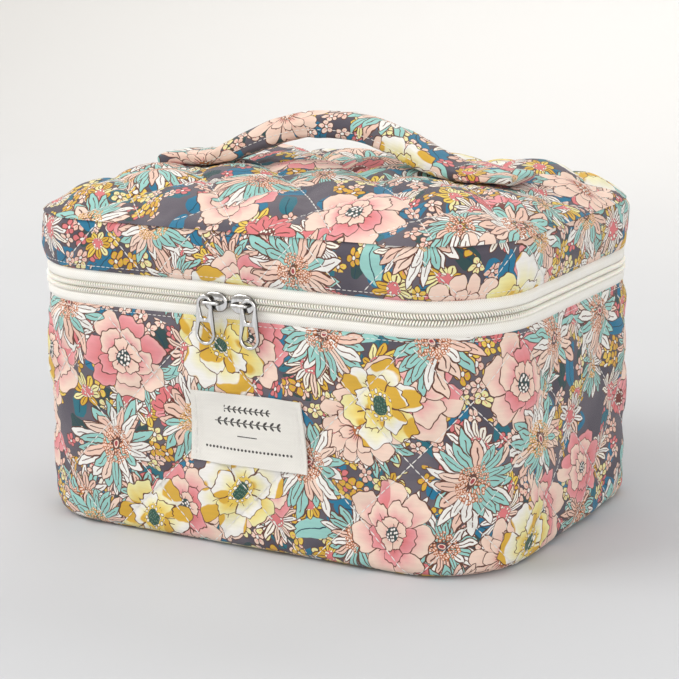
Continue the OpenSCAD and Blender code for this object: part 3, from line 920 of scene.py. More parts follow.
def back_quilting(s, z):
    """The back panel carries on the wall's quilting, and lies flat where it folds as the hinge."""
    away = np.mod(s, AROUND) - AROUND / 2
    free = smooth(z, SEAM, SEAM - 6) * smooth(z, ROLL_Z - ROLL_ARC, ROLL_Z - ROLL_ARC + 7)
    free = free * smooth(BACK_HALF - np.abs(away), 0, 6) * (0.08 + 0.92 * smooth(np.abs(z - SPLIT), 4, 14))
    puff = 2.1 * quilt_puff(BACK_QUILT, away, z) + 0.3 * puckers(BACK_QUILT, away, z, 13)
    return puff * free + 0.4 * ripple(away, z, 27.0, 18) * free - 0.35 * (1 - free)


def wall_face(s, v, hemmed=True):
    """Radius, height, outward direction (out_r, out_z) and cloth height on the plain wall.

    v runs down the cloth, from the zip's edge or, where the wall isn't hemmed, from the lid's seam.
    """
    s, v = np.broadcast_arrays(np.asarray(s, float), np.asarray(v, float))
    top, hem, hem_arc = (WALL_TOP, HEM, HEM_ARC) if hemmed else (SEAM, 1e-6, 0.0)
    straight = top - hem - ROLL_Z
    fold = np.clip(v / hem, 0, TURN / 4) if hemmed else np.full(v.shape, TURN / 4)
    drop = np.clip(v - hem_arc, 0, straight)
    curl = np.clip(v - hem_arc - straight, 0, ROLL_ARC) / ROLL
    tuck = np.clip(v - hem_arc - straight - ROLL_ARC, 0, None)
    r = FACE_R - hem * (1 - np.sin(fold)) - ROLL * (1 - np.cos(curl)) - tuck
    z = top - hem * (1 - np.cos(fold)) - drop - ROLL * np.sin(curl) + 0.3 * tuck
    out_r, out_z = np.sin(fold) * np.cos(curl), np.cos(fold) * (fold < TURN / 4 - 1e-6) - np.sin(curl)
    return r, z, out_r, out_z, top - hem + hem_arc - v


def lifted(s, face, lift, set_back=0.0):
    """(points, outward directions) at a height over a plain face."""
    r, z, out_r, out_z, _ = face
    _, out = outline(np.broadcast_to(s, r.shape))
    points = place(s, r + out_r * lift + set_back, z + out_z * lift)
    return points, np.concatenate([out * out_r[..., None], out_z[..., None]], -1)


def wall_points(s, v, extra=0.0, hemmed=True, quilting=wall_quilting):
    """(points, outward directions) on the quilted wall, with extra height."""
    face = wall_face(s, v, hemmed)
    cloth_z = face[-1]
    # The wall is drawn in a little, most at its foot, and nothing goes below what the bag stands on.
    set_back = -1.15 * smooth(cloth_z, SEAM, BAND_LOW - 6) - 0.45 * smooth(cloth_z, 60, 5)
    points, outward = lifted(s, face, quilting(s, cloth_z) + extra, set_back)
    points[..., 2] = np.maximum(points[..., 2], 0.15 + 0.1 * (points[..., 2] < 0))
    return points, outward


def back_points(s, v, extra=0.0):
    """(points, outward directions) on the quilted back panel, v down from the lid's seam."""
    return wall_points(s, v, extra, False, back_quilting)


def behind_points(away, v, extra):
    """The same, with places measured from the middle of the back."""
    return back_points(away + AROUND / 2, v, extra)


def fill_wall():
    s = (np.arange(int(2 * BACK_S / FILL_STEP) + 1) * FILL_STEP - BACK_S)[:, None]
    v = (np.arange(int(WALL_V / FILL_STEP) + 1) * FILL_STEP)[None, :]
    points, _ = wall_points(s, v)
    cloth_z = wall_face(s, v)[-1]
    edges = smooth(cloth_z, WALL_TOP, WALL_TOP - 5) * smooth(cloth_z, 0, 6) * smooth(BACK_S - np.abs(s), 0, 5)
    held = np.maximum(near_line(WALL_QUILT, s, cloth_z, 1.4), 1 - edges)
    FILLS["wall"] = billow(points, held, 1.2, 1.5, 5)


def make_wall():
    s = steps(-BACK_S, BACK_S, 1.45)[:, None]
    v = steps(0, WALL_V + 1.5, 1.3)[None, :]
    outer, _ = wall_points(s, v)
    r, z, out_r, out_z, cloth_z = wall_face(s, v)
    depth = HEM_PAD + (PAD - HEM_PAD) * smooth(z, THIN_LOW + 1, THIN_LOW - 4)
    hem = z > THIN_LOW
    inner_r = np.where(hem, FACE_R - HEM_PAD, r - out_r * depth)
    inner = place(s, inner_r, np.where(hem, z - 0.05, z - out_z * depth))
    piece = slab("wall_quilt", outer, inner, PRINT, cut("wall", s, cloth_z))
    belongs(piece, "base", "print_cotton", "wall_fabric", "wall_padding", fill=0.5)


def make_back():
    s = steps(BACK_S, AROUND - BACK_S, 1.4)[:, None]
    v = steps(0, SEAM - ROLL_Z + ROLL_ARC + 1.5, 1.15)[None, :]
    outer, _ = back_points(s, v)
    r, z, out_r, out_z, cloth_z = wall_face(s, v, hemmed=False)
    full = smooth(z, THIN_LOW, THIN_LOW - 5) + smooth(z, THIN_HIGH, THIN_HIGH + 5)
    depth = HEM_PAD + (PAD - HEM_PAD) * full - 2.6 * smooth(z, SEAM - 4, SEAM)
    inner = place(s, r - out_r * depth, z - out_z * depth)
    piece = slab("back_panel_quilt", outer, inner, PRINT, cut("back", s, cloth_z))
    belongs(piece, STRETCH, "print_cotton", "back_panel_lower", "back_panel_upper", fill=0.5)


# ---------------------------------------------------------------- lid and base

BAND_V = SEAM - BAND_LOW - HEM + HEM_ARC
TAB_IN, TAB_OUT, TAB_HALF = 56.0, 88.0, 12.0
BASE_THICK = 4.3


def band_face(s, v):
    """The same as wall_face for the plain side of the lid, v down from the lid's seam."""
    s, v = np.broadcast_arrays(np.asarray(s, float), np.asarray(v, float))
    straight = SEAM - BAND_LOW - HEM
    drop = np.clip(v, 0, straight)
    fold = np.clip((v - straight) / HEM, 0, TURN / 4)
    r = FACE_R - HEM * (1 - np.cos(fold))
    z = SEAM - drop - HEM * np.sin(fold)
    return r, z, np.cos(fold), -np.sin(fold), SEAM - v


def band_points(s, v, extra=0.0):
    """(points, outward directions) on the quilted side of the lid, with extra height."""
    face = band_face(s, v)
    z = face[-1]
    free = smooth(z, BAND_LOW - 0.5, BAND_LOW + 8) * smooth(z, SEAM, SEAM - 5)
    free = free * smooth(BACK_S - np.abs(s), 0, 6)
    puff = 0.5 + 1.5 * quilt_puff(BAND_QUILT, s, z) + 0.3 * puckers(BAND_QUILT, s, z, 23)
    lift = -0.6 + puff * free + 0.4 * ripple(s, z, 25.0, 28) * free - 0.5 * (1 - smooth(z, SEAM, SEAM - 3))
    return lifted(s, face, lift + extra)


def make_band():
    s = steps(-BACK_S, BACK_S, 1.45)[:, None]
    v = steps(0, BAND_V, 0.9)[None, :]
    outer, _ = band_points(s, v)
    r, z, _, _, cloth_z = band_face(s, v)
    full = smooth(z, THIN_HIGH, THIN_HIGH + 5)
    depth = HEM_PAD + (PAD - HEM_PAD) * full - 2.8 * smooth(z, SEAM - 4, SEAM)
    hem = z < THIN_HIGH
    inner = place(s, np.where(hem, FACE_R - HEM_PAD, r - depth), z + 0.05 * hem)
    piece = slab("lid_band_quilt", outer, inner, PRINT, cut("band", s, cloth_z))
    belongs(piece, "lid", "print_cotton", "lid_band_fabric", "lid_band_padding", fill=0.5)


def dome(x, y, radius=DOME_R):
    """(height, outward directions, distance in from the edge) of the domed lid."""
    dx, dy = np.maximum(np.abs(x) - POST_X, 0), np.maximum(np.abs(y) - POST_Y, 0)
    far = np.minimum(np.hypot(dx, dy), FACE_R)
    rise = np.sqrt(radius ** 2 - far ** 2)
    return DOME_Z + rise, triple(dx * np.sign(x), dy * np.sign(y), rise) / radius, FACE_R - far


def top_points(x, y, extra=0.0):
    """(points, outward directions) on the quilted top of the lid, with extra height."""
    z, out, edge = dome(x, y)
    puff = 2.2 * quilt_puff(TOP_QUILT, -y, x) + 0.4 * puckers(TOP_QUILT, -y, x, 33)
    puff = puff + filled("top", (x + POST_X + FACE_R) / FILL_STEP, (POST_Y + FACE_R - y) / FILL_STEP)
    tabs = smooth(np.abs(x), TAB_IN - 5, TAB_IN) * smooth(np.abs(x), TAB_OUT + 4, TAB_OUT)
    tabs = tabs * smooth(np.abs(y), TAB_HALF + 4, TAB_HALF)
    slump = -1.6 * smooth(edge, 2, 10) * smooth(edge, 44, 14) - 1.0 * smooth(x, -60, -100)
    lift = (puff * smooth(edge, -4, 16) + 0.5 * ripple(x, y, 29.0, 38) + slump) * smooth(edge, 0, 5)
    lift = lift * (1 - tabs) - 0.1 * tabs - 0.35 * (1 - smooth(edge, 0, 2)) + extra
    return triple(x, y, z) + out * lift[..., None], out


def by_tabs(x, y, inside, outside, beside):
    """Whether places lie under the handle's tabs or within these distances of them."""
    along = (np.abs(x) > TAB_IN - inside) & (np.abs(x) < TAB_OUT + outside)
    return along & (np.abs(y) < TAB_HALF + beside)


def disc_grid(reach, s_step, rings, power=1.0):
    """x and y over the bag's plan, out to a radius: rows round it, columns from the middle out."""
    s = np.arange(int(AROUND / s_step)) * AROUND / int(AROUND / s_step)
    rim = place(s, reach, 0.0)
    share = (np.arange(1, rings + 1) / rings) ** power
    return rim[:, None, 0] * share, rim[:, None, 1] * share


def fill_top():
    x = (np.arange(int(2 * (POST_X + FACE_R) / FILL_STEP) + 2) * FILL_STEP - POST_X - FACE_R)[:, None]
    y = (POST_Y + FACE_R - np.arange(int(2 * (POST_Y + FACE_R) / FILL_STEP) + 2) * FILL_STEP)[None, :]
    x, y = np.broadcast_arrays(x, y)
    points, _ = top_points(x, y)
    held = np.maximum(near_line(TOP_QUILT, -y, x, 1.4), 1 - smooth(dome(x, y)[2], 1, 7))
    FILLS["top"] = billow(points, np.maximum(held, by_tabs(x, y, 3, 3, 3)), 1.4, 2.6, 7)


def make_top():
    x, y = disc_grid(FACE_R, 1.6, 78, 0.9)
    outer, _ = top_points(x, y)
    z, out, edge = dome(x, y)
    depth = 0.5 + (PAD - 0.5) * smooth(edge, 0, 6)
    inner = triple(x, y, z) - out * depth[..., None]
    # The domed cloth is a little longer than its plan.
    flat = cut("top", x * 1.02, y * 1.02)
    piece = slab("lid_top_quilt", outer, inner, PRINT, flat, closed=True, capped=True)
    belongs(piece, "lid", "print_cotton", "lid_top_fabric", "lid_top_padding", fill=0.6)


def make_base():
    x, y = disc_grid(ROLL_R, 2.2, 44)
    edge = dome(x, y)[2] - (FACE_R - ROLL_R)
    puff = quilt_puff(TOP_QUILT, -y, x) * smooth(edge, 0, 6)
    low = np.maximum(0.02 + 0.9 * (1 - puff) - 0.15 * (1 - smooth(edge, 0, 2)), 0.0)
    upper, lower, flat = triple(x, y, BASE_THICK), triple(x, y, low), cut("base", x, y)
    piece = slab("base_quilt", upper, lower, PRINT, flat, closed=True, capped=True)
    belongs(piece, "base", "print_cotton", "base_fabric", "base_padding", fill=0.4)


# ---------------------------------------------------------------- lining and bindings

LINING_R, LINING_TOP, LINING_Z, LINING_ROLL = 33.0, 96.0, 9.4, 4.6
BAND_LINING_R, TOP_LINING_R, TOP_LINING_DEEP = 37.9, 37.7, 4.25
FACING_R, FACING_TOP, FACING_HIGH = 39.95, 114.9, 24.8
# Places round the bag where the linings have points
LINING_S = (np.arange(400) * AROUND / 400)[:, None]


def make_wall_lining():
    s = LINING_S
    drop, arc = LINING_TOP - LINING_Z, TURN / 4 * LINING_ROLL
    v = steps(0, drop + arc, 1.9)[None, :]
    curl = np.clip(v - drop, 0, arc) / LINING_ROLL
    r = LINING_R + LINING_ROLL * np.cos(curl)
    z = LINING_TOP - np.clip(v, 0, drop) - LINING_ROLL * np.sin(curl)
    puff = quilt_puff(WALL_QUILT, s, LINING_TOP - v) * smooth(z, THIN_LOW, THIN_LOW - 8)
    puff = puff * smooth(curl, 1.2, 0.3)
    outer = place(s, r + 0.25, z - 0.2 * np.sin(curl))
    inner = place(s, r - 0.45 - 1.1 * puff, z + 0.3 * np.sin(curl))
    piece = slab("wall_lining_cloth", outer, inner, LINING, pair(s, LINING_TOP - v), closed=True)
    belongs(piece, "base", "lining", "wall_lining")


def make_band_lining():
    s = LINING_S
    z = node_box("lid_band_lining")[1][2] - steps(0, 20.0, 1.6)[None, :]
    puff = quilt_puff(WALL_QUILT, s, z) * smooth(z, THIN_HIGH - 4, THIN_HIGH + 2)
    outer, inner = place(s, BAND_LINING_R, z), place(s, BAND_LINING_R - 0.75 - 0.8 * puff, z)
    piece = slab("lid_band_lining_cloth", outer, inner, LINING, pair(s, z), closed=True)
    belongs(piece, "lid", "lining", "lid_band_lining")


def make_base_lining():
    x, y = disc_grid(LINING_R + 0.2, 2.4, 40)
    puff = quilt_puff(TOP_QUILT, -y, x) * smooth(dome(x, y)[2] - (FACE_R - LINING_R), 0, 6)
    upper, lower = triple(x, y, 5.2 + 1.0 * puff), triple(x, y, 4.5)
    piece = slab("base_lining_cloth", upper, lower, LINING, pair(x, y), closed=True, capped=True)
    belongs(piece, "base", "lining", "base_lining")


def make_top_lining():
    x, y = disc_grid(TOP_LINING_R, 2.2, 46)
    z, out, edge = dome(x, y, DOME_R - TOP_LINING_DEEP)
    puff = quilt_puff(TOP_QUILT, -y, x) * smooth(edge - (FACE_R - TOP_LINING_R), 0, 6)
    upper = triple(x, y, z)
    lower = upper - out * (0.7 + 1.3 * puff)[..., None]
    piece = slab("lid_top_lining_cloth", upper, lower, LINING, pair(x + 300.0, y), closed=True, capped=True)
    belongs(piece, "lid", "lining", "lid_top_lining")


def make_bindings():
    s = np.arange(360) * AROUND / 360
    for name, body, node, power, deep, seed in (("base_seam_tape", "base", "base_seam_binding", 0.4, 4.5, 14),
                                                ("lower_zip_bias", "base", "lower_zip_binding", 0.6, 2.2, 14),
                                                ("lid_seam_tape", "lid", "lid_seam_binding", 0.6, 1.8, 13),
                                                ("upper_zip_bias", "lid", "upper_zip_binding", 0.6, 2.2, 14)):
        (_, _, low), (out_x, _, high) = node_box(node)
        out_r = out_x - POST_X
        section = rounded(out_r - deep, out_r - 0.05, low, high, power)
        belongs(hoop(name, section, s, BINDING, 0.18, seed), body, "binding", node)


def make_facing():
    """One strip covers the seams behind the hinge, from the base's lining to the lid's."""
    half = node_box("hinge_facing_lower")[1][0]
    s = steps(AROUND / 2 - half, AROUND / 2 + half, 2.0)[:, None]
    z = FACING_TOP - steps(0, FACING_HIGH, 0.8)[None, :]
    wave = np.abs(0.12 * ripple(s, z, 9.0, 51))
    outer, inner = place(s, FACING_R, z), place(s, FACING_R - TAPE_THICK - wave, z)
    piece = slab("hinge_facing", outer, inner, BINDING, pair(s, z))
    belongs(piece, STRETCH, "binding", "hinge_facing_lower", "hinge_facing_upper")


# ---------------------------------------------------------------- zip

ZIP_S = AROUND / 2 - node_box("hinge_facing_lower")[1][0] - 0.3
TAPE_R, TAPE_REACH, TAPE_THICK = 40.0, 12.0, 0.55
TOOTH_PITCH = 1.22


def make_tape(name, body, way):
    """One half of the zip's tape; way is 1 for the upper half and -1 for the lower one."""
    s = steps(-ZIP_S, ZIP_S, 1.6)[:, None]
    # Columns run down: for the lower tape from the middle of the zip, for the upper one to it.
    reach = np.linspace(0.12, TAPE_REACH, 17)[::-way]
    z = SPLIT + way * reach[None, :]
    gap = np.abs(z - SPLIT)
    wave = 0.1 * ripple(s, z, 14.0, 61) * smooth(gap, 3, 7)
    r = TAPE_R + (wave + 1.15 * smooth(gap, 1.9, 3.4) * smooth(gap, 7.6, 5.6))
    piece = slab(f"{name}_zip_tape_cloth", place(s, r, z), place(s, r - TAPE_THICK, z), TAPE, pair(s, z))
    belongs(piece, body, "zip_tape", f"{name}_zip_tape")


def make_teeth(name, body, way):
    """One loop of the coil for each tooth; the upper row's teeth lie between the lower row's."""
    count = int(BACK_S / TOOTH_PITCH)
    s = (np.arange(1 - count, count) + (0.5 if way > 0 else 0.0)) * TOOTH_PITCH
    lean = (-0.4, -0.28, -0.05, 0.22, 0.4, 0.42)
    loop_z = np.array((2.15, 2.0, 1.6, 1.0, 0.45, 0.33))
    loop_r = np.array((40.3, 41.0, 41.4, 41.4, 40.9, 40.3))
    paths = place(s[:, None] + lean, loop_r, SPLIT + way * loop_z)
    _, out = outline(s)
    ups = np.repeat(triple(out[:, 0], out[:, 1], 0.0)[:, None], len(lean), 1)
    piece = tubes(f"{name}_zip_teeth", paths, ups, 0.35, 0.35, COIL, sides=6, ends=0.6)
    belongs(piece, body, "zip_coil", f"{name}_zip_coil")


# ---------------------------------------------------------------- quilting thread

STITCH_LIFT = 0.2


def stitched(name, body, lines, *nodes, pitch=3.2, length=2.7, thick=0.25):
    """Makes a row of stitches along each line of (points, outward directions)."""
    paths, ups = stitch_paths(lines, pitch, length)
    belongs(tubes(name, paths, ups, thick, thick * 0.8, THREAD, sides=5, ends=0.35), body, "thread", *nodes)


def diagonal_lines(quilt, half_s, low, high, top, surface):
    """Every stitch line of both families between limits; top is the cloth height at the upper edge."""
    pitch, first, second = quilt
    z = np.arange(low, high, 0.9)
    lines = []
    for way, offset in ((1, first), (-1, second)):
        for number in range(-16, 17):
            s = way * (z - offset) + number * pitch
            kept = np.abs(s) < half_s
            if kept.sum() > 4:
                lines.append(surface(s[kept], top - z[kept], STITCH_LIFT))
    return lines


def top_lines():
    """The stitch lines of the lid's top, which stop at its edge and at the handle's tabs."""
    pitch, first, second = TOP_QUILT
    x = np.arange(-POST_X - FACE_R, POST_X + FACE_R, 0.9)
    lines = []
    for way, offset in ((-1, first), (1, -second)):
        for number in range(-6, 7):
            y = way * x + offset + number * pitch
            kept = (dome(x, y)[2] > 2.5) & ~by_tabs(x, y, 2, 1, 1)
            for run in np.split(np.arange(len(x)), np.nonzero(np.diff(kept.astype(int)))[0] + 1):
                if kept[run[0]] and len(run) > 5:
                    lines.append(top_points(x[run], y[run], STITCH_LIFT))
    return lines


def make_thread():
    s = steps(-BACK_S + 1, BACK_S - 1, 1.2)
    hem = {"pitch": 2.4, "length": 1.8, "thick": 0.15}
    lines = diagonal_lines(WALL_QUILT, BACK_S - 2, -1.5, WALL_TOP - 3.5, WALL_CLOTH, wall_points)
    stitched("wall_quilting_thread", "base", lines)
    stitched("wall_hem_thread", "base", [wall_points(s, HEM_ARC + 0.9, 0.08)], **hem)
    lines = diagonal_lines(BAND_QUILT, BACK_S - 2, BAND_LOW + 3, SEAM - 2.5, SEAM, band_points)
    stitched("lid_band_quilting_thread", "lid", lines)
    stitched("lid_band_hem_thread", "lid", [band_points(s, BAND_V - HEM_ARC - 0.9, 0.08)], **hem)
    for name, body, low, high in (("upper", "lid", SPLIT + 13, SEAM - 2.5),
                                  ("lower", "base", -1.5, SPLIT - 13)):
        lines = diagonal_lines(BACK_QUILT, BACK_HALF - 2, low, high, SEAM, behind_points)
        stitched(f"back_quilting_thread_{name}", body, lines)
    stitched("lid_top_quilting_thread", "lid", top_lines())


# ---------------------------------------------------------------- label

LABEL_SEAM_IN = 2.6


def make_label():
    x = steps(-LABEL_WIDE / 2, LABEL_WIDE / 2, 0.75)[:, None]
    y = steps(-LABEL_HIGH / 2, LABEL_HIGH / 2, 0.75)[::-1][None, :]
    flat = pair(x, y)

    # The label bridges the quilting's hollows, is drawn in at its stitches and stands off at its long edges.
    s, z = LABEL_X + x, LABEL_Z + y
    near = [wall_quilting(s + dx, z + dy) for dx in (-5, 0, 5) for dy in (-4, 0, 4)]
    resting = np.maximum(np.mean(near, 0) + 0.35, wall_quilting(s, z) + 0.22)
    edge_x, edge_y = LABEL_WIDE / 2 - np.abs(x), LABEL_HIGH / 2 - np.abs(y)
    sewn = np.exp(-((edge_x - LABEL_SEAM_IN) / 0.7) ** 2)
    loose = smooth(edge_y, 5, 0) * smooth(edge_x, 2, 12) * (0.5 + 0.5 * ripple(x, y * 0, 11.0, 71))
    folded = 0.35 * smooth(edge_x, 4.2, 3.6)
    lift = resting + 0.7 * loose - 0.25 * sewn + 0.12 * ripple(x, y, 6.0, 72)

    tilt = math.radians(0.4)
    x = x * (1 - 0.03 * y / (LABEL_HIGH / 2))
    shrink = 0.35 * ripple(x, y * 0, 13.0, 73) * smooth(edge_y, 6, 0) * np.sign(y)
    s = LABEL_X + x * math.cos(tilt) - y * math.sin(tilt)
    v = WALL_CLOTH - (LABEL_Z + (y + shrink) * math.cos(tilt) + x * math.sin(tilt))
    outer, _ = wall_points(s, v, quilting=lambda *_: lift + 0.45 + folded - 0.1 * sewn)
    inner, _ = wall_points(s, v, quilting=lambda *_: lift)
    piece = slab("label_cloth", outer, inner, LABEL, flat)
    belongs(piece, "base", "label_cotton", "label")

    lines = []
    for side in (-1, 1):
        column = int(np.argmin(np.abs(flat[:, 0, 0] - side * (LABEL_WIDE / 2 - LABEL_SEAM_IN))))
        points = outer[column, 2:-2] + (0, -0.08, 0)
        lines.append((points, np.tile([0.0, -1.0, 0.0], (len(points), 1))))
    stitched("label_stitching", "base", lines, "label_stitches", pitch=2.5, length=1.7, thick=0.2)


# ---------------------------------------------------------------- handle

GRIP_TOP = node_box("handle_sleeve")[1][2]

# The strap by distance from the middle of the grip: half its width, half its thickness, how square its
# section is, and how far the grip drops. From 66 mm on it is the tab, which lies on the lid.
STATIONS = (0, 14, 28, 40, 48, 54, 60, 66, 74, 82, 88)
HALF_WIDE = (8.2, 8.4, 9.0, 9.8, 10.5, 11.2, 11.8, 12, 12, 12, 12)
HALF_THICK = (5.6, 5.6, 5.5, 5.2, 4.5, 3.7, 3.0, 2.5, 2.3, 2.2, 2.2)
SQUARE = (1.0, 1.0, 0.95, 0.9, 0.85, 0.75, 0.65, 0.6, 0.55, 0.5, 0.5)
GRIP_DROP = (0, 1.1, 4.7, 9.4, 12.8, 15.0, 16.8)
TAB_FROM = len(GRIP_DROP)
TAB_GAP = 0.35

# The tabs by side (1 right, -1 left): the left one is thicker and shorter, and its end curls up less.
TAB_THICK = {1: HALF_THICK, -1: HALF_THICK[:6] + (3.3, 3.0, 2.9, 2.7, 2.6)}
TAB_CURL = {1: (0, 0.2, 0.8, 1.5), -1: (0, 0.0, 0.3, 0.6)}
TAB_END = {1: TAB_OUT, -1: TAB_OUT - 4.5}
END_ROUND = 1.6


def through(values, at):
    """Smooth curve through values at the stations of the strap."""
    stations, values = np.asarray(STATIONS, float), np.asarray(values, float)
    slope = np.gradient(values, stations)
    i = np.clip(np.searchsorted(stations, at) - 1, 0, len(stations) - 2)
    h = stations[i + 1] - stations[i]
    t = (at - stations[i]) / h
    return ((1 + 2 * t) * (1 - t) ** 2 * values[i] + t * (1 - t) ** 2 * h * slope[i]
            + t * t * (3 - 2 * t) * values[i + 1] + t * t * (t - 1) * h * slope[i + 1])


def strap_heights(side):
    """Height of the strap's middle line at each station: arched over the grip, then lying on the dome."""
    grip = GRIP_TOP - HALF_THICK[0] - np.array(GRIP_DROP)
    lie = dome(np.array(STATIONS[TAB_FROM:], float), np.zeros(len(STATIONS) - TAB_FROM))[0]
    tab = lie + np.array(TAB_THICK[side][TAB_FROM:]) + TAB_GAP + np.array(TAB_CURL[side])
    return np.concatenate([grip, tab])


def handle_points(side, x, angle, extra=0.0):
    """(points, outward directions, place on the cloth) of half of the strap, from its middle to its tab."""
    centre = strap_heights(side)
    z = through(centre, x)
    rise = (through(centre, x + 0.05) - through(centre, np.maximum(x - 0.05, 0))) / 0.1
    rise = rise * smooth(x, 0, 3)
    lean_x, lean_z = (-rise / np.hypot(rise, 1))[:, None], (1 / np.hypot(rise, 1))[:, None]
    wide, thick, power = (through(v, x)[:, None] for v in (HALF_WIDE, TAB_THICK[side], SQUARE))
    end = np.sqrt(1 - np.clip((x - TAB_END[side] + END_ROUND) / END_ROUND, 0, 0.999) ** 2)[:, None]
    wide, thick = wide - 1.3 * (1 - end), thick * end
    x, angle = x[:, None], angle[None, :]
    # The folded strap's seam makes a ridge along the lower front of the grip.
    gap = np.abs(np.mod(angle - math.radians(218) + math.pi, TURN) - math.pi)
    ridge = 1.5 * np.exp(-(gap / 0.32) ** 2) * smooth(x, 66, 46)
    twist = x * side + angle * 5.0
    creases = 0.5 * ripple(twist + 200, angle * 6.0 + 50, 6.0, 81)
    creases += 0.45 * ripple(twist * 1.6, angle * 4.0, 7.0, 85) * smooth(x, 30, 55)
    creases = creases * smooth(x, 88, 66)
    c, s = np.cos(angle), np.sin(angle)
    across, up = squarish(angle, power)
    across = wide * across + c * (ridge + creases + extra)
    up = thick * up + s * (ridge + creases * 0.8 + extra)
    points = triple(side * (x + up * lean_x), across, z[:, None] + up * lean_z)
    girth = angle * (wide + thick) / 2
    return points, triple(side * s * lean_x, c, s * lean_z), cut("handle", x * side, girth)


def make_handle():
    count = 44
    angle = np.arange(count) / count * TURN
    for side, name in ((1, "right"), (-1, "left")):
        tip = TAB_END[side] - END_ROUND
        x = np.concatenate([steps(0, tip, 0.95), tip + END_ROUND * np.sin(np.radians([22, 42, 60, 75, 87]))])
        points, _, flat = handle_points(side, x, angle)
        index = np.arange(len(x) * count).reshape(len(x), count)
        faces = grid_faces(np.hstack([index, index[:, :1]])[:, ::side])
        faces += [index[0, ::-side].tolist(), index[-1, ::side].tolist()]
        piece = add_mesh(f"handle_strap_{name}", points, faces, PRINT, flat)
        stretch = ("lid", "handle", (side * 0.062, 0, 0.147), (side * 0.050, 0, 0.147))
        nodes = (f"handle_tab_{name}", "handle_sleeve", "handle_core")
        belongs(piece, stretch, "print_cotton", *nodes, fill=0.7)

        # One row of stitching runs along the folded edge, just above its ridge.
        seam = np.arange(1.0, 58.0, 0.8)
        points, outward, _ = handle_points(side, seam, np.array([math.radians(194)]), 0.05)
        line = (points[:, 0], outward[:, 0])
        stitched(f"handle_seam_thread_{name}", stretch, [line], pitch=2.7, length=1.9, thick=0.17)

    lines = []
    y = np.linspace(-TAB_HALF + 1.6, TAB_HALF - 1.6, 24)
    for side in (-1, 1):
        for row, loose in ((62.0, 0.35), (68.0, 0.0)):
            thick = through(TAB_THICK[side], np.array([row]))[0]
            height = dome(row, 0.0)[0] + TAB_GAP + 2 * thick + loose
            lines.append((triple(side * row, y, height), np.tile([0.0, 0.0, 1.0], (len(y), 1))))
    stitched("tab_stitching", "lid", lines, "tab_stitches", pitch=2.6, length=1.9, thick=0.22)


# ---------------------------------------------------------------- sliders and pulls

FRONT_Y = -POST_Y
SLIDER_X = 6.3

# A slider's two plates, each from its face beside the zip to its other face, the bail on the front one, and
# the radius at which the pull hangs from it
FRONT_PLATE, BACK_PLATE = (42.3, 43.25), (39.1, 38.05)
PLATE_HALF = (5.8, 4.1)
LEG_X, INNER_LEG_X = 4.0, 3.4
BAIL_ROOT, BAIL_NECK, BAIL_TOP, BAIL_BEND = 42.9, 43.9, 46.3, 1.0
PULL_R = 44.6


def ring(x, z, half_x, half_z, r, power, up_power=None, count=20):
    """Soft-cornered ring of (x, z, r) points, seen from the front."""
    across, up = squarish(np.arange(count) / count * TURN, power, up_power)
    return triple(x + half_x * across, z + half_z * up, r)


def plate_rings(x, inner, outer, crown):
    """Rings of a die-cast plate with rounded edges and a crowned outer face."""
    way = 1 if outer > inner else -1
    profile = ((0.9, inner), (0.97, inner + 0.08 * way), (1.0, inner + 0.3 * way), (1.0, outer - 0.45 * way),
               (0.965, outer - 0.15 * way), (0.9, outer), (0.8, outer + crown * 0.35 * way),
               (0.55, outer + crown * 0.8 * way), (0.25, outer + crown * way), (0.06, outer + crown * way))
    half_x, half_z = PLATE_HALF
    rings = [ring(x, SPLIT, half_x * share, half_z * share, r, 0.82, 0.92, 48) for share, r in profile]
    return rings[::way]


def bar_rings(points, wide, high, sides=14, ends=0.5):
    """Rings of a smooth rod through points of (x, z, r)."""
    points = np.asarray(points, float)
    tangent = np.gradient(points, axis=0)
    tangent /= np.linalg.norm(tangent, axis=1, keepdims=True)
    across = np.tile([0.0, 1.0, 0.0], (len(points), 1))
    up = np.cross(across, tangent)
    angle = np.arange(sides)[None, :, None] / sides * TURN
    taper = np.ones((len(points), 1, 1))
    taper[0] = taper[-1] = ends
    around = across[:, None] * np.cos(angle) * wide - up[:, None] * np.sin(angle) * high
    return points[:, None] + around * taper


def cast(solids):
    """(points, faces) of solids on the bag's front; a solid's rings have the same number of points."""
    points, faces, start = [], [], 0
    for rings in solids:
        rings = np.asarray(rings, float)
        index = np.arange(rings[..., 0].size).reshape(rings.shape[:2])
        made = grid_faces(index, close_columns=True) + [index[0, ::-1].tolist(), index[-1].tolist()]
        faces += [[corner + start for corner in face] for face in made]
        points.append(triple(rings[..., 0], FRONT_Y - rings[..., 2], rings[..., 1]).reshape(-1, 3))
        start += index.size
    return np.concatenate(points), faces


def shade_rims(mesh):
    """Marks how far each point of a casting faces away from its front, where the metal gets a painted dark
    reflection.
    """
    facing = np.array([normal.vector.y for normal in mesh.vertex_normals])
    rim = np.zeros((len(facing), 3), np.float32)
    rim[:, 0] = 1 - np.abs(facing)
    mesh.attributes.new("cloth", "FLOAT_VECTOR", "POINT").data.foreach_set("vector", rim.ravel())


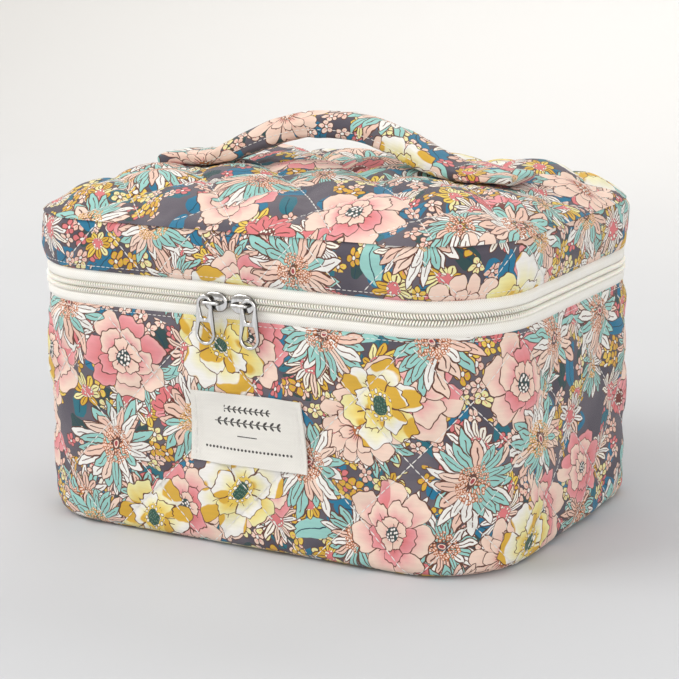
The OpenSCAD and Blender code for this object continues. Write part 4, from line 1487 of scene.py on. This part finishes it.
def bail_path(inner, outer, side):
    """The loop that holds the pull: up from the plate, across and down again, with rounded bends."""
    top, bend = BAIL_TOP, BAIL_BEND
    turns = np.linspace(0, TURN / 4, 7)[1:]
    path = [(inner, SPLIT, BAIL_ROOT), (inner, SPLIT, BAIL_NECK), (inner, SPLIT, top - bend)]
    for a in turns:
        path.append((inner + side * bend * (1 - math.cos(a)), SPLIT, top - bend * (1 - math.sin(a))))
    for x in np.linspace(inner + side * bend, outer - side * bend, 6)[1:]:
        path.append((x, SPLIT, top))
    for a in turns:
        path.append((outer - side * bend * (1 - math.sin(a)), SPLIT, top - bend * (1 - math.cos(a))))
    return path + [(outer, SPLIT, BAIL_NECK), (outer, SPLIT, BAIL_ROOT)]


def make_slider(side, name):
    x = side * SLIDER_X
    solids = [plate_rings(x, *FRONT_PLATE, 0.3), plate_rings(x, *BACK_PLATE, 0.15)]
    # The wedge that joins the plates between the coils, and a lip below them
    for middle, z, half_x, half_z, low in ((x - side * 4.0, SPLIT, 1.2, 0.5, BACK_PLATE[0] - 0.4),
                                           (x, SPLIT - 3.7, 2.9, 0.35, 40.35)):
        heights = np.linspace(low, FRONT_PLATE[0] + 0.4, 4)
        solids.append([ring(middle, z, half_x, half_z, r, 0.5) for r in heights])
    path = bail_path(x - side * INNER_LEG_X, x + side * LEG_X, side)
    solids.append(bar_rings(path, 0.72, 0.6))
    points, faces = cast(solids)
    piece = add_mesh(f"{name}_zip_slider", points, faces, METAL, crease=48.0)
    shade_rims(piece.data)
    belongs(piece, f"slider_{name}", "polished_zinc", f"{name}_slider")


def arc_points(x, z, radius, first, last, count):
    """Points of an arc between two angles in degrees."""
    angle = np.radians(np.linspace(first, last, count))
    return pair(x + radius * np.cos(angle), z + radius * np.sin(angle)).tolist()


def make_pull(side, name):
    """A cast pull: a rounded frame with a drop-shaped eye above and a round-ended window below."""
    thick, bevel = 1.2, 0.48
    frame_line = arc_points(0, -0.6, 3.6, 4, 176, 24) + arc_points(0, -12.9, 4.7, 184, 356, 30)
    eye = arc_points(0, -1.1, 2.3, 188, -8, 24) + arc_points(0, -5.2, 1.5, -8, -172, 14)
    window = (arc_points(1.75, -8.9, 0.6, 90, 8, 6) + arc_points(0, -12.9, 3.35, 0, -180, 26)
              + arc_points(-1.75, -8.9, 0.6, 172, 90, 6))
    curve = bpy.data.curves.new("pull_drawing", "CURVE")
    curve.dimensions = "2D"
    curve.fill_mode = "BOTH"
    curve.extrude = (thick / 2 - bevel) * MM
    curve.bevel_depth = bevel * MM
    curve.bevel_resolution = 3
    curve.offset = -bevel * MM
    for drawn in (frame_line, eye, window):
        spline = curve.splines.new("POLY")
        spline.points.add(len(drawn) - 1)
        spline.use_cyclic_u = True
        for point, (x, z) in zip(spline.points, drawn):
            point.co = (x * MM, z * MM, 0, 1)
    drawing = bpy.data.objects.new("pull_drawing", curve)
    bpy.context.scene.collection.objects.link(drawing)
    mesh = bpy.data.meshes.new_from_object(drawing.evaluated_get(bpy.context.evaluated_depsgraph_get()))
    bpy.data.objects.remove(drawing)
    hang = Matrix.Translation(Vector((side * (SLIDER_X + LEG_X), FRONT_Y - PULL_R, SPLIT)) * MM)
    mesh.transform(hang @ Matrix.Rotation(TURN / 4, 4, "X"))
    mesh.name = f"{name}_zip_pull"
    mesh.shade_smooth()
    mesh.set_sharp_from_angle(angle=math.radians(40))
    shade_rims(mesh)
    mesh.materials.clear()
    mesh.materials.append(METAL)
    piece = bpy.data.objects.new(f"{name}_zip_pull", mesh)
    bpy.context.scene.collection.objects.link(piece)
    belongs(piece, f"pull_{name}", "polished_zinc", f"{name}_pull")


# ---------------------------------------------------------------- the scene

def make_stage():
    """Pale floor that curves up into a backdrop; its lengths are in metres."""
    flat_to, bend, wall_to, half = 0.9, 0.8, 4.0, 4.0
    rows = [(-1.6, 0.0), (flat_to, 0.0)]
    for a in np.linspace(0.1, TURN / 4, 14):
        rows.append((flat_to + bend * math.sin(a), bend - bend * math.cos(a)))
    rows.append((flat_to + bend, wall_to))
    points = np.array([[(x, y, z) for y, z in rows] for x in (-half, half)]) / MM
    index = np.arange(2 * len(rows)).reshape(2, -1)
    material, tree, shader = finish_of("pale_floor", 0.9)
    at = tree.nodes.new("ShaderNodeTexCoord").outputs["Object"]
    patch = tree.nodes.new("ShaderNodeTexNoise")
    patch.inputs["Scale"].default_value = 3.0
    tree.links.new(at, patch.inputs["Vector"])
    # The floor's colour is greyer in front and paler towards the backdrop, with faint random patches.
    _, depth, _ = parts(tree, at)
    near = mix(tree, Num(tree, patch.outputs[0]).ramp(0.3, 0.7), srgb("c1c3c8"), srgb("c6c8cc"))
    plug(tree, shader.inputs["Base Color"], mix(tree, depth.ramp(0.1, 1.3), near, srgb("e8e7e6")))
    add_mesh("floor", points, grid_faces(index[:, ::-1]), material)


def add_light(name, where, target, size, power, colour):
    """A rectangular lamp that faces a target; lengths are in metres."""
    lamp = bpy.data.lights.new(name, "AREA")
    lamp.shape = "RECTANGLE"
    lamp.size, lamp.size_y = size
    lamp.energy = power
    lamp.color = colour
    light = bpy.data.objects.new(name, lamp)
    light.location = where
    light.rotation_euler = (Vector(target) - Vector(where)).to_track_quat("-Z", "Y").to_euler()
    bpy.context.scene.collection.objects.link(light)


def make_lights():
    add_light("window_key", (-1.0, -0.85, 1.15), (0, 0, 0.07), (1.0, 1.0), 15.2, (1.0, 0.985, 0.96))
    add_light("window_back", (-0.2, 1.25, 1.3), (0, 0, 0.1), (1.8, 0.9), 11.0, (1.0, 0.99, 0.97))
    add_light("fill_right", (1.4, -0.5, 0.52), (0, 0, 0.08), (1.2, 1.0), 8.0, (1.0, 0.98, 0.95))
    add_light("fill_front", (0.45, -1.7, 0.4), (0, 0, 0.08), (1.6, 0.7), 7.2, (1.0, 0.99, 0.97))
    world = bpy.data.worlds.new("studio")
    bpy.context.scene.world = world
    world.use_nodes = True
    tree = world.node_tree
    ray = parts(tree, tree.nodes.new("ShaderNodeTexCoord").outputs["Generated"])
    sky = (ray[2] * 0.9 + ray[1] * 0.35 - ray[0] * 0.25).ramp(-0.45, 0.75)
    plug(tree, tree.nodes["Background"].inputs["Color"], mix(tree, sky, srgb("6b6762"), srgb("fffdf8")))
    tree.nodes["Background"].inputs["Strength"].default_value = 0.92


# The camera fitted to the photo's outline
CAMERA_AZIMUTH, CAMERA_ELEVATION, CAMERA_ROLL = 30.07, 13.07, -1.12
CAMERA_DISTANCE, CAMERA_LENS = 848.0, 103.9
CAMERA_TARGET = (0.8, 0.0, 70.0)


def make_camera():
    a, e = math.radians(CAMERA_AZIMUTH), math.radians(CAMERA_ELEVATION)
    back = Vector((math.sin(a) * math.cos(e), -math.cos(a) * math.cos(e), math.sin(e)))
    camera = bpy.data.objects.new("camera", bpy.data.cameras.new("camera"))
    camera.data.lens = CAMERA_LENS
    camera.data.clip_end = 20.0
    camera.data.clip_start = 0.01
    facing = back.to_track_quat("Z", "Y").to_matrix().to_4x4()
    place_at = Matrix.Translation((Vector(CAMERA_TARGET) + back * CAMERA_DISTANCE) * MM)
    camera.matrix_world = place_at @ facing @ Matrix.Rotation(math.radians(CAMERA_ROLL), 4, "Z")
    bpy.context.scene.collection.objects.link(camera)
    bpy.context.scene.camera = camera
    bpy.context.scene.view_settings.view_transform = "Standard"


fill_wall()
fill_top()
make_wall()
make_back()
make_band()
make_top()
make_base()
make_wall_lining()
make_band_lining()
make_base_lining()
make_top_lining()
make_bindings()
make_facing()
for zip_name, zip_body, zip_way in (("lower", "base", -1), ("upper", "lid", 1)):
    make_tape(zip_name, zip_body, zip_way)
    make_teeth(zip_name, zip_body, zip_way)
make_thread()
make_label()
make_handle()
for slider_name, slider_side in (("left", -1), ("right", 1)):
    make_slider(slider_side, slider_name)
    make_pull(slider_side, slider_name)
make_stage()
make_lights()
make_camera()
